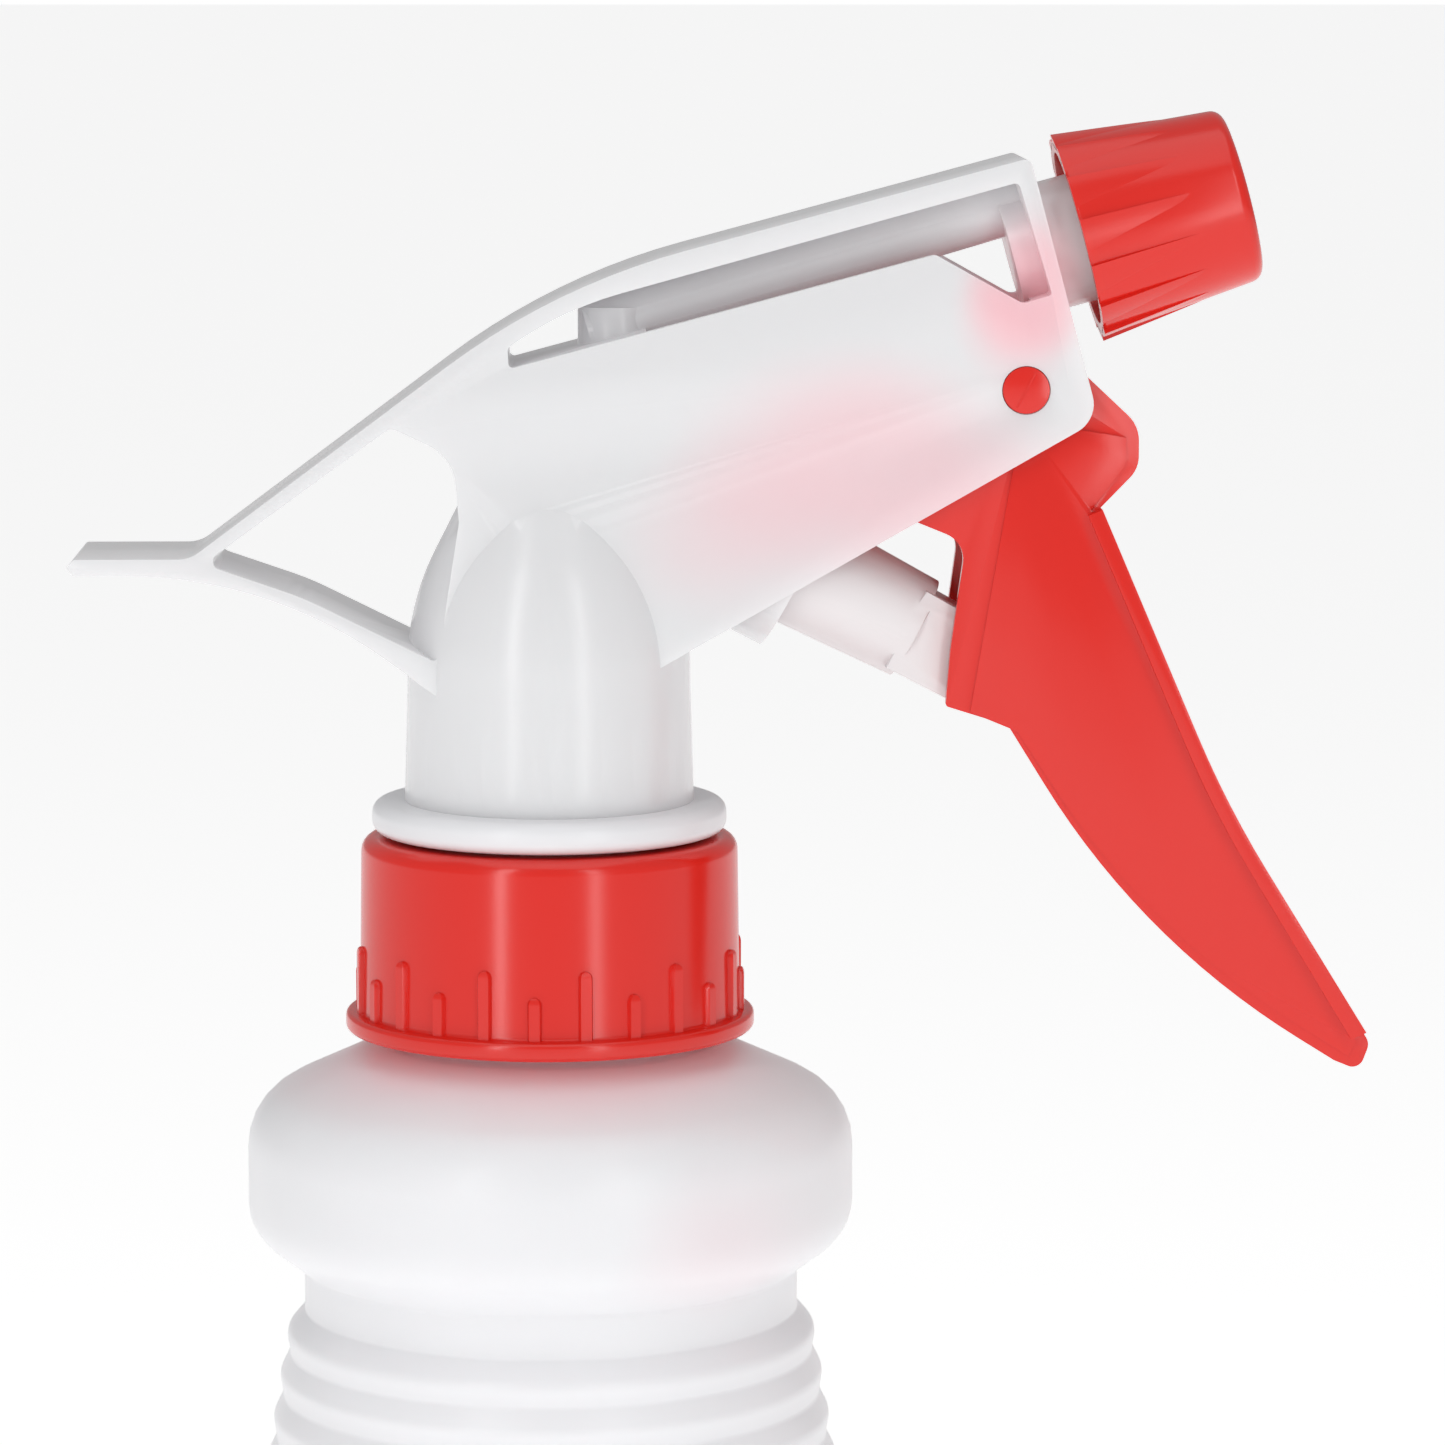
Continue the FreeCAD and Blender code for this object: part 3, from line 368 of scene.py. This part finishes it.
def shade_group():
    """Moulded plastic: a slow mottle in the colour, a worn sheen, and a fine grain for the bump."""
    group = bpy.data.node_groups.get("moulded_plastic")
    if group:
        return group
    group = bpy.data.node_groups.new("moulded_plastic", "ShaderNodeTree")
    face = group.interface
    for label, kind, value in (("Vector", "NodeSocketVector", None),
                               ("Colour", "NodeSocketColor", None),
                               ("Mottle", "NodeSocketFloat", 0.04),
                               ("Mottle Scale", "NodeSocketFloat", 60.0),
                               ("Roughness", "NodeSocketFloat", 0.3),
                               ("Roughness Spread", "NodeSocketFloat", 0.1),
                               ("Grain Scale", "NodeSocketFloat", 900.0)):
        made = face.new_socket(label, in_out="INPUT", socket_type=kind)
        if value is not None:
            made.default_value = value
    face.new_socket("Colour", in_out="OUTPUT", socket_type="NodeSocketColor")
    face.new_socket("Roughness", in_out="OUTPUT", socket_type="NodeSocketFloat")
    face.new_socket("Grain", in_out="OUTPUT", socket_type="NodeSocketFloat")
    nodes, links = group.nodes, group.links
    entry, leave = nodes.new("NodeGroupInput"), nodes.new("NodeGroupOutput")
    slow = nodes.new("ShaderNodeTexNoise")
    slow.inputs["Detail"].default_value = 2.0
    worn = nodes.new("ShaderNodeTexNoise")
    worn.inputs["Scale"].default_value = 190.0
    worn.inputs["Detail"].default_value = 4.0
    fine = nodes.new("ShaderNodeTexNoise")
    fine.inputs["Detail"].default_value = 3.0
    fade = nodes.new("ShaderNodeMapRange")
    fade.inputs["From Min"].default_value = 0.3
    fade.inputs["From Max"].default_value = 0.7
    low = maths(nodes, "ShaderNodeMath", "SUBTRACT")
    low.inputs[0].default_value = 1.0
    tone = nodes.new("ShaderNodeHueSaturation")
    spread = maths(nodes, "ShaderNodeMath", "MULTIPLY_ADD")
    centre = maths(nodes, "ShaderNodeMath", "SUBTRACT")
    centre.inputs[1].default_value = 0.5
    links.new(entry.outputs["Vector"], slow.inputs["Vector"])
    links.new(entry.outputs["Vector"], worn.inputs["Vector"])
    links.new(entry.outputs["Vector"], fine.inputs["Vector"])
    links.new(entry.outputs["Mottle Scale"], slow.inputs["Scale"])
    links.new(entry.outputs["Grain Scale"], fine.inputs["Scale"])
    links.new(entry.outputs["Mottle"], low.inputs[1])
    links.new(low.outputs[0], fade.inputs["To Min"])
    fade.inputs["To Max"].default_value = 1.0
    links.new(slow.outputs[0], fade.inputs["Value"])
    links.new(fade.outputs[0], tone.inputs["Value"])
    links.new(entry.outputs["Colour"], tone.inputs["Color"])
    links.new(tone.outputs[0], leave.inputs["Colour"])
    links.new(worn.outputs[0], centre.inputs[0])
    links.new(centre.outputs[0], spread.inputs[0])
    links.new(entry.outputs["Roughness Spread"], spread.inputs[1])
    links.new(entry.outputs["Roughness"], spread.inputs[2])
    links.new(spread.outputs[0], leave.inputs["Roughness"])
    links.new(fine.outputs[0], leave.inputs["Grain"])
    return group


def painted_glow_mask():
    """A soft mask for a painted glow, 1 inside a rounded region and 0 outside it, whose edge wanders a
    little.
    """
    group = bpy.data.node_groups.get("painted_glow_region")
    if group:
        return group
    group = bpy.data.node_groups.new("painted_glow_region", "ShaderNodeTree")
    face = group.interface
    for label, kind in (("Vector", "NodeSocketVector"), ("Centre", "NodeSocketVector"),
                        ("Reach", "NodeSocketVector"), ("Softness", "NodeSocketFloat")):
        face.new_socket(label, in_out="INPUT", socket_type=kind)
    face.new_socket("Mask", in_out="OUTPUT", socket_type="NodeSocketFloat")
    nodes, links = group.nodes, group.links
    entry, leave = nodes.new("NodeGroupInput"), nodes.new("NodeGroupOutput")
    wander = nodes.new("ShaderNodeTexNoise")
    wander.inputs["Scale"].default_value = 45.0
    amount = maths(nodes, "ShaderNodeVectorMath", "SCALE")
    amount.inputs["Scale"].default_value = 0.006
    moved = maths(nodes, "ShaderNodeVectorMath", "ADD")
    shift = maths(nodes, "ShaderNodeVectorMath", "SUBTRACT")
    scaled = maths(nodes, "ShaderNodeVectorMath", "DIVIDE")
    far = maths(nodes, "ShaderNodeVectorMath", "LENGTH")
    edge = maths(nodes, "ShaderNodeMath", "SUBTRACT")
    edge.inputs[0].default_value = 1.0
    fade = nodes.new("ShaderNodeMapRange")
    fade.interpolation_type = "SMOOTHSTEP"
    fade.inputs["From Max"].default_value = 1.0
    fade.inputs["To Min"].default_value = 1.0
    fade.inputs["To Max"].default_value = 0.0
    links.new(entry.outputs["Vector"], wander.inputs["Vector"])
    links.new(wander.outputs["Color"], amount.inputs[0])
    links.new(entry.outputs["Vector"], moved.inputs[0])
    links.new(amount.outputs[0], moved.inputs[1])
    links.new(moved.outputs[0], shift.inputs[0])
    links.new(entry.outputs["Centre"], shift.inputs[1])
    links.new(shift.outputs[0], scaled.inputs[0])
    links.new(entry.outputs["Reach"], scaled.inputs[1])
    links.new(scaled.outputs[0], far.inputs[0])
    links.new(entry.outputs["Softness"], edge.inputs[1])
    links.new(far.outputs["Value"], fade.inputs["Value"])
    links.new(edge.outputs[0], fade.inputs["From Min"])
    links.new(fade.outputs[0], leave.inputs["Mask"])
    return group


def place_group(nodes, group, **values):
    """The group as a node, with values for its inputs. An underscore stands for a space."""
    node = nodes.new("ShaderNodeGroup")
    node.node_tree = group
    for label, value in values.items():
        node.inputs[label.replace("_", " ")].default_value = value
    return node


def plastic(name, base, painted_glow=(), painted_glow_colour=None, roughness=0.3, spread=0.1, mottle=0.05, bump=0.02,
            shine=0.5, depth=0.0, glow=0.0):
    """A plastic with mottle, sheen variation and grain.

    Each painted glow is (centre, reach, softness, strength): a place where red light, shining through the
    wall from a red piece, is painted into the base colour in the glow colour. The emission is a faint
    painted glow over the whole surface.
    """
    material = bpy.data.materials.get(name)
    if material:
        return material
    material = bpy.data.materials.new(name)
    material.use_nodes = True
    nodes, links = material.node_tree.nodes, material.node_tree.links
    nodes.clear()
    out = nodes.new("ShaderNodeOutputMaterial")
    shader = nodes.new("ShaderNodeBsdfPrincipled")
    where = nodes.new("ShaderNodeTexCoord")
    look = place_group(nodes, shade_group(), Mottle=mottle, Roughness=roughness, Roughness_Spread=spread)
    links.new(where.outputs["Object"], look.inputs["Vector"])
    colour_now = None
    # Each pass paints a red glow into the base colour inside its mask.
    for centre, reach, softness, strength in painted_glow:
        mask = place_group(nodes, painted_glow_mask(), Centre=centre, Reach=reach, Softness=softness)
        links.new(where.outputs["Object"], mask.inputs["Vector"])
        weight = maths(nodes, "ShaderNodeMath", "MULTIPLY")
        weight.inputs[1].default_value = strength
        links.new(mask.outputs["Mask"], weight.inputs[0])
        # Inputs 6 and 7 of a Mix node are its colours A and B, and output 2 is its colour result.
        mix = nodes.new("ShaderNodeMix")
        mix.data_type = "RGBA"
        mix.inputs[7].default_value = (*painted_glow_colour, 1.0)
        if colour_now is None:
            mix.inputs[6].default_value = (*base, 1.0)
        else:
            links.new(colour_now, mix.inputs[6])
        links.new(weight.outputs[0], mix.inputs[0])
        colour_now = mix.outputs[2]
    if colour_now is None:
        look.inputs["Colour"].default_value = (*base, 1.0)
    else:
        links.new(colour_now, look.inputs["Colour"])
    grain = nodes.new("ShaderNodeBump")
    grain.inputs["Strength"].default_value = bump
    grain.inputs["Distance"].default_value = GRAIN_DEPTH
    links.new(look.outputs["Colour"], shader.inputs["Base Color"])
    links.new(look.outputs["Roughness"], shader.inputs["Roughness"])
    links.new(look.outputs["Grain"], grain.inputs["Height"])
    links.new(grain.outputs["Normal"], shader.inputs["Normal"])
    shader.inputs["Specular IOR Level"].default_value = shine
    shader.inputs["Subsurface Weight"].default_value = depth
    # Painted light: the emission is a faint pinkish glow painted over the surface, lifting the shade on
    # white and milky walls.
    shader.inputs["Emission Color"].default_value = (1.0, 0.93, 0.96, 1.0)
    shader.inputs["Emission Strength"].default_value = glow
    shader.inputs["Subsurface Radius"].default_value = (1.0, 0.9, 0.9)
    shader.inputs["Subsurface Scale"].default_value = SCATTER_DEPTH
    links.new(shader.outputs[0], out.inputs["Surface"])
    return material


def red_plastic():
    return plastic("red_plastic", bpy.context.scene.spray_plastics.red, roughness=0.28, spread=0.12,
                   mottle=0.08, bump=0.03, shine=0.10)


def white_plastic():
    tones = bpy.context.scene.spray_plastics
    up = NECK_Z
    # Painted light: pink glows painted into the housing's colour where the red trigger and piston would
    # shine through its walls, and a lighter pink patch painted over the nozzle stub, which sits in the
    # cap's shade.
    return plastic("white_plastic", tones.white, painted_glow_colour=tones.painted_glow, roughness=0.24, spread=0.06, mottle=0.0,
                   bump=0.01, depth=0.35, glow=0.06, painted_glow=(
                       (SPOUT_AT - 0.001 * SPOUT_AXIS, (0.006, 0.05, 0.0065), 0.6, 0.5),
                       ((0.031, 0.0, up + 0.052), (0.020, 0.05, 0.0125), 0.75, 0.55),
                       ((0.044, 0.0, up + 0.068), (0.0065, 0.05, 0.0095), 0.9, 0.75),
                       ((0.018, 0.0, up + 0.047), (0.011, 0.05, 0.010), 0.9, 0.30)))


def milky_plastic():
    tones = bpy.context.scene.spray_plastics
    up = NECK_Z
    # Painted light: pink glows painted into the bottle's colour under the collar, where the red pieces
    # would shine through the milky wall.
    return plastic("milky_plastic", tones.milky, painted_glow_colour=tones.painted_glow, roughness=0.36, spread=0.10, mottle=0.03,
                   bump=0.02, depth=0.4, glow=0.06, painted_glow=(
                       ((0.0, 0.0, up + 0.003), (0.030, 0.030, 0.011), 0.9, 0.75),
                       ((0.017, 0.0, up - 0.012), (0.011, 0.05, 0.009), 0.95, 0.30)))


def plain(name, base, roughness=0.35, metallic=0.0):
    material = plastic(name, base, roughness=roughness, spread=0.1, mottle=0.05, bump=0.03)
    shader = next(node for node in material.node_tree.nodes if node.type == "BSDF_PRINCIPLED")
    shader.inputs["Metallic"].default_value = metallic
    return material


def spring_steel():
    return plain("spring_steel", (0.6, 0.6, 0.6), 0.25, 1.0)


def finish(piece, material, body, slot_name, *nodes):
    """Give a piece its material and body, and hide the CAD nodes that it stands for; the slot name is not
    used.
    """
    piece.data.materials.clear()
    piece.data.materials.append(material)
    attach(piece, body)
    if nodes:
        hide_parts(*nodes)
    return piece


def coil(name, node):
    """A spring from a CAD node's mesh, welded, smoothly shaded and given spring steel, with the CAD node
    hidden.
    """
    mesh = frame["nodes"][node].data.copy()
    work = bmesh.new()
    work.from_mesh(mesh)
    bmesh.ops.remove_doubles(work, verts=work.verts, dist=WELD)
    work.to_mesh(mesh)
    work.free()
    piece = link(name, mesh)
    smooth(piece, 50)
    finish(piece, spring_steel(), "head", "spring_steel", node)
    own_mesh(piece)


# ---------------------------------------------------------------- operators

class SPRAY_OT_bottle(bpy.types.Operator):
    """Blow the bottle: base, body, grip rings, bulge and neck, with its inner wall"""
    bl_idname = "spray.bottle"
    bl_label = "Bottle"

    def execute(self, context):
        shell = context.scene.spray_shell
        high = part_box("bottle")[1]
        body, top, neck, wall = high.y / MM, high.z / MM, NECK_Z / MM, shell.wall / MM
        band, bulge = shell.band_r / MM, shell.shoulder_r / MM
        pitch, depth, growth = shell.ring_pitch / MM, shell.ring_depth / MM, shell.ring_growth / MM
        first, rings, band_low = shell.ring_r / MM, shell.ring_count, neck - 24.9
        dent, dent_r, foot_in, foot_out, heel = 3.5, 18, 25.5, 28.5, 3.5
        neck_r, bore_r = 12.6, 10.8
        outer = [(0, dent), (dent_r, dent, 8), (foot_in, 0, 0.8), (foot_out, 0, 1), (body, heel, 4),
                 (body, band_low - pitch * 12.5, 14),
                 (first + growth * rings - depth, band_low - pitch * rings - 0.4, 6)]
        for ring in reversed(range(rings)):
            crest = first + growth * ring
            outer.append((crest + 0.15, band_low - pitch * (ring + 0.5), 1.4))
            if ring:
                outer.append((crest - depth + 0.15, band_low - pitch * ring, 0.8))
        outer += [(band, band_low, 0.5), (band, neck - 21.1, 0.8), (bulge, neck - 17.5, 4.5),
                  (bulge, neck - 6.5, 6), (14.8, neck - 1.1, 2), (neck_r, neck - 0.9, 0.4),
                  (neck_r, top, 0.5)]
        inner = [(bore_r, top, 0.4), (bore_r, neck - 1.6, 1), (bulge - wall, neck - 7.4, 5),
                 (bulge - wall, neck - 16.7, 3.8), (band - wall, neck - 20.7, 1.2),
                 (band - wall, band_low - 1, 4),
                 (first + growth * rings - depth - wall, band_low - pitch * rings - 0.4, 6),
                 (body - wall, band_low - pitch * 12.5 - 0.5, 14), (body - wall, wall + 4.2, 3.5),
                 (foot_out, wall + 0.6, 0.8), (foot_in, wall + 0.6, 0.6), (dent_r, dent + wall, 7),
                 (0, dent + wall)]
        piece = lathe("bottle_shell", rounded(outer + inner, 5), 160, closed=False)
        finish(piece, milky_plastic(), "bottle", "bottle_plastic", "bottle")
        thread = helix_ridge("bottle_thread", 12.5, 13.65, neck + 3.6, 1.7)
        finish(thread, milky_plastic(), "bottle", "bottle_plastic")
        return {"FINISHED"}


class SPRAY_OT_collar(bpy.types.Operator):
    """Turn the screw collar and set its long and short grip ribs round it"""
    bl_idname = "spray.collar"
    bl_label = "Collar"

    def execute(self, context):
        sizes = context.scene.spray_collar
        low, high = COLLAR_LOW.z / MM, COLLAR_HIGH.z / MM
        radius, flange = sizes.top_r / MM, sizes.flange_r / MM
        hole, bore, mouth, roof = 11.35, 14.15, 14.4, 1.65
        profile = rounded([
            (mouth, low), (flange, low, 0.5), (flange, low + 1.6, 0.45),
            (radius + 0.2, low + 1.7, 0.25), (radius, high, 1.3), (hole, high, 0.25),
            (hole, high - roof, 0.2), (bore, high - roof, 0.3), (bore, low + 0.25)], 6)
        shell = lathe("collar_shell", profile, 160)
        finish(shell, red_plastic(), "collar", "red_plastic", "collar")
        thread = helix_ridge("collar_thread", 14.3, 13.1, low + 1.48, 1.25)
        finish(thread, red_plastic(), "collar", "red_plastic")
        for name, top, phase in (("collar_long_ribs", sizes.long_top, sizes.phase),
                                 ("collar_short_ribs", sizes.short_top,
                                  sizes.phase + math.pi / sizes.rib_count)):
            seed = self.rib(name, low * MM + 1.2 * MM, low * MM + top, sizes)
            ring_array(name, seed, sizes.rib_count, phase, red_plastic())
            smooth(seed, 40)
            finish(seed, red_plastic(), "collar", "red_plastic")
        return {"FINISHED"}

    def rib(self, name, bottom, top, sizes):
        """One rib on the +X side: a half-round bar with a rounded upper end."""
        half, root = sizes.rib_width / 2, sizes.top_r - 0.6 * MM
        crest = sizes.top_r + sizes.rib_proud
        work = bmesh.new()
        rows = []
        sides, caps = 8, 6
        levels = [(bottom, 1.0)]
        levels += [(top - half + half * math.sin(math.pi / 2 * step / caps),
                    max(0.06, math.cos(math.pi / 2 * step / caps))) for step in range(caps + 1)]
        for level, share in levels:
            row = [work.verts.new((root, -half * share, level))]
            for side in range(sides + 1):
                angle = math.pi * side / sides
                bulge = min(1.0, 1.5 * math.sin(angle)) * (0.55 + 0.45 * share)
                row.append(work.verts.new((root + 0.5 * MM + (crest - root - 0.5 * MM) * bulge,
                                           -half * share * math.cos(angle), level)))
            row.append(work.verts.new((root, half * share, level)))
            rows.append(row)
        return loft(name, work, rows)


class SPRAY_OT_valve_base(bpy.types.Operator):
    """Finish the pale disc that the head stands on, and colour the small pieces left as CAD made them"""
    bl_idname = "spray.valve_base"
    bl_label = "Valve base"

    def execute(self, context):
        tones = context.scene.spray_plastics
        piece = moulding("valve_disc", "valve_base", 0.1)
        # Painted light: a pink glow painted onto the disc near the red collar, as red light shining through
        # it.
        disc = plastic("disc_plastic", tones.milky, roughness=0.3, mottle=0.03, painted_glow_colour=tones.painted_glow, painted_glow=(
            ((0.0, 0.0, COLLAR_HIGH.z - 0.001), (0.06, 0.06, 0.0028), 0.9, 0.35),))
        finish(piece, disc, "head", "valve_plastic", "valve_base")
        rubber = plain("seal_rubber", (0.09, 0.09, 0.1), 0.6)
        tube = plain("tube_plastic", (0.8, 0.8, 0.8), 0.3)
        for node, material in (("neck_gasket", rubber), ("nozzle_seal", rubber), ("dip_tube", tube),
                               ("swirl_insert", tube), ("inlet_ball", spring_steel()),
                               ("outlet_ball", spring_steel())):
            mesh = frame["nodes"][node].data
            mesh.materials.clear()
            mesh.materials.append(material)
        return {"FINISHED"}


class SPRAY_OT_housing(bpy.types.Operator):
    """Round the housing's edges as its mould leaves them"""
    bl_idname = "spray.housing"
    bl_label = "Housing"

    def execute(self, context):
        piece = moulding("housing_moulding", "housing", 0.25)
        finish(piece, white_plastic(), "head", "housing_plastic", "housing")
        return {"FINISHED"}


class SPRAY_OT_pump(bpy.types.Operator):
    """Finish the piston that shows between the housing and the trigger, and the spring behind it"""
    bl_idname = "spray.pump"
    bl_label = "Pump"

    def execute(self, context):
        tones = context.scene.spray_plastics
        piece = moulding("piston_plunger", "piston", 0.2)
        at = Vector(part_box("piston")[1])
        # Painted light: a pink glow painted into the piston's colour near the red trigger, as red light
        # shining through it.
        painted_trigger_glow = ((at.x - 0.002, 0.0, at.z - 0.015), (0.012, 0.05, 0.012), 0.95, 0.45)
        finish(piece, plastic("piston_plastic", tones.white, painted_glow_colour=tones.painted_glow, roughness=0.35, mottle=0.03,
                              painted_glow=(painted_trigger_glow,)), "piston", "piston_plastic", "piston")
        coil("pump_coil", "return_spring")
        return {"FINISHED"}


class SPRAY_OT_trigger(bpy.types.Operator):
    """Round the trigger lever's edges as its mould leaves them, and set a thin line at its pivot on each
    side
    """
    bl_idname = "spray.trigger"
    bl_label = "Trigger"

    def execute(self, context):
        piece = moulding("trigger_lever", "trigger", 0.3)
        finish(piece, red_plastic(), "trigger", "red_plastic", "trigger")
        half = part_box("trigger")[1].y
        line, sunk = (3.4 * MM, 0.12 * MM, 0.16 * MM), 0.02 * MM
        tilt = Matrix.Rotation(math.radians(-62), 3, "Y")
        work = bmesh.new()
        for side in (-1, 1):
            bar = bmesh.ops.create_cube(work, size=1.0)["verts"]
            bmesh.ops.scale(work, vec=line, verts=bar)
            bmesh.ops.rotate(work, cent=(0, 0, 0), matrix=tilt, verts=bar)
            bmesh.ops.translate(work, vec=(PIVOT.x, side * (half - sunk), PIVOT.z), verts=bar)
        mesh = bpy.data.meshes.new("pivot_lines")
        work.to_mesh(mesh)
        work.free()
        finish(link("pivot_lines", mesh), red_plastic(), "trigger", "red_plastic")
        return {"FINISHED"}


class SPRAY_OT_nozzle(bpy.types.Operator):
    """Turn the nozzle cap, set its saw-tooth grip ribs round it, and finish the outlet valve's spring"""
    bl_idname = "spray.nozzle"
    bl_label = "Nozzle cap"

    def execute(self, context):
        sizes = context.scene.spray_nozzle
        back, front, long = sizes.back_r / MM, sizes.front_r / MM, sizes.long / MM
        hole, bore, sleeve, sleeve_low, wall = 0.4, 4.55, 5.6, 1.3, 1.0
        place = along(SPOUT_AXIS, SPOUT_AT)
        profile = rounded([
            (back - wall - 0.2, 0.05), (back - wall, 0), (back, 0, 0.25), (front, long, 1.1),
            (1.5, long + 0.12, 0.3), (hole, long - 1.2, 0.1), (hole, long - 3.4, 0.1),
            (bore, long - 3.4, 0.2), (bore, sleeve_low, 0.1), (sleeve, sleeve_low, 0.1),
            (sleeve, long - 3.2, 0.2), (front - wall, long - 3.2, 0.4)], 6)
        shell = lathe("nozzle_shell", profile, 144, place)
        finish(shell, red_plastic(), "nozzle_cap", "red_plastic", "nozzle_cap")
        seed = self.rib("nozzle_ribs", sizes)
        ring_array("nozzle_ribs", seed, sizes.rib_count, 0.0, red_plastic())
        seed.data.transform(place)
        smooth(seed, 30)
        finish(seed, red_plastic(), "nozzle_cap", "red_plastic")
        coil("outlet_coil", "outlet_spring")
        return {"FINISHED"}

    def rib(self, name, sizes):
        """One saw tooth on the +X side: steep on one side, sloping on the other, fading forwards."""
        sweep = 2 * math.pi / sizes.rib_count
        root, foot = 0.5 * MM, 0.06 * MM
        work = bmesh.new()
        rows = []
        steps, rows_long = 8, 16
        for row_index in range(rows_long + 1):
            share = row_index / rows_long
            height = sizes.long * 0.66 * share
            wall = sizes.back_r + (sizes.front_r - sizes.back_r) * height / sizes.long
            proud = sizes.rib_proud * (1 - share) ** 0.8
            width = sweep * (0.80 - 0.55 * share)
            row = [work.verts.new((wall - root, 0, height))]
            for step in range(steps + 1):
                angle = width * step / steps
                radius = wall - foot + (proud + foot) * (1 - step / steps)
                row.append(work.verts.new((radius * math.cos(angle), radius * math.sin(angle), height)))
            inner = wall - root
            row.append(work.verts.new((inner * math.cos(width), inner * math.sin(width), height)))
            rows.append(row)
        return loft(name, work, rows)


class SPRAY_OT_stage(bpy.types.Operator):
    """Lay a pale floor, set soft studio light and the camera"""
    bl_idname = "spray.stage"
    bl_label = "Stage"

    def execute(self, context):
        scene = context.scene
        sizes = scene.spray_stage
        bpy.ops.mesh.primitive_plane_add(size=40.0, location=(0, 0, -0.0002))
        floor = context.active_object
        floor.name = "floor"
        pale = bpy.data.materials.new("pale_floor")
        pale.use_nodes = True
        shader = pale.node_tree.nodes["Principled BSDF"]
        shader.inputs["Base Color"].default_value = (0.8, 0.8, 0.8, 1)
        shader.inputs["Roughness"].default_value = 0.9
        shader.inputs["Emission Color"].default_value = (1, 1, 1, 1)
        shader.inputs["Emission Strength"].default_value = sizes.floor_glow
        floor.data.materials.append(pale)

        world = bpy.data.worlds.new("studio")
        scene.world = world
        world.use_nodes = True
        nodes, links = world.node_tree.nodes, world.node_tree.links
        backdrop = nodes["Background"]
        backdrop.inputs["Color"].default_value = (1, 1, 1, 1)
        seen = nodes.new("ShaderNodeLightPath")
        strength = nodes.new("ShaderNodeMapRange")
        strength.inputs["To Min"].default_value = sizes.ambient
        strength.inputs["To Max"].default_value = 1.0
        links.new(seen.outputs["Is Camera Ray"], strength.inputs["Value"])
        links.new(strength.outputs[0], backdrop.inputs["Strength"])
        aim = Vector((0.01, 0, NECK_Z + 0.03))
        for name, at, size, power in (("key_strip", (-0.42, -0.75, 0.50), (0.10, 0.9), sizes.key),
                                      ("fill_strip", (0.42, -0.80, 0.45), (0.12, 0.9), sizes.fill),
                                      ("top_soft", (0.0, -0.15, 1.0), (0.8, 0.8), sizes.top)):
            data = bpy.data.lights.new(name, "AREA")
            data.shape = "RECTANGLE"
            data.size, data.size_y = size
            data.energy = power
            lamp = bpy.data.objects.new(name, data)
            lamp.location = at
            lamp.rotation_euler = (aim - Vector(at)).to_track_quat("-Z", "Y").to_euler()
            scene.collection.objects.link(lamp)

        target = Vector((0.0151, 0.0, NECK_Z + 0.0267))
        flat = sizes.distance * math.cos(sizes.pitch)
        place = target + Vector((-flat * math.sin(sizes.swing), -flat * math.cos(sizes.swing),
                                 sizes.distance * math.sin(sizes.pitch)))
        data = bpy.data.cameras.new("camera")
        data.lens = sizes.lens
        data.sensor_width = 36.0
        data.clip_start, data.clip_end = 0.01, 20.0
        camera = bpy.data.objects.new("camera", data)
        camera.location = place
        camera.rotation_euler = (target - place).to_track_quat("-Z", "Y").to_euler()
        scene.collection.objects.link(camera)
        scene.camera = camera
        scene.view_settings.view_transform = "Standard"
        scene.view_settings.look = "None"
        return {"FINISHED"}


OPERATORS = (SPRAY_OT_bottle, SPRAY_OT_collar, SPRAY_OT_valve_base, SPRAY_OT_housing, SPRAY_OT_pump,
             SPRAY_OT_trigger, SPRAY_OT_nozzle, SPRAY_OT_stage)


class SPRAY_PT_panel(bpy.types.Panel):
    """Lists the settings and the steps that build the spray bottle"""
    bl_idname = "SPRAY_PT_panel"
    bl_label = "Spray bottle"
    bl_space_type = "VIEW_3D"
    bl_region_type = "UI"
    bl_category = "Spray bottle"

    def draw(self, context):
        for holder, kind in SETTINGS.items():
            box = self.layout.box()
            box.label(text=kind.__name__)
            for entry in kind.__annotations__:
                box.prop(getattr(context.scene, holder), entry)
        for operator in OPERATORS:
            self.layout.operator(operator.bl_idname)


CLASSES = (*SETTINGS.values(), *OPERATORS, SPRAY_PT_panel)


def register():
    for item in CLASSES:
        bpy.utils.register_class(item)
    for holder, kind in SETTINGS.items():
        setattr(bpy.types.Scene, holder, bpy.props.PointerProperty(type=kind))


def unregister():
    for holder in SETTINGS:
        delattr(bpy.types.Scene, holder)
    for item in reversed(CLASSES):
        bpy.utils.unregister_class(item)


def main():
    register()
    for operator in OPERATORS:
        name = operator.bl_idname.split(".")[1]
        getattr(bpy.ops.spray, name)()


if __name__ == "__main__":
    main()
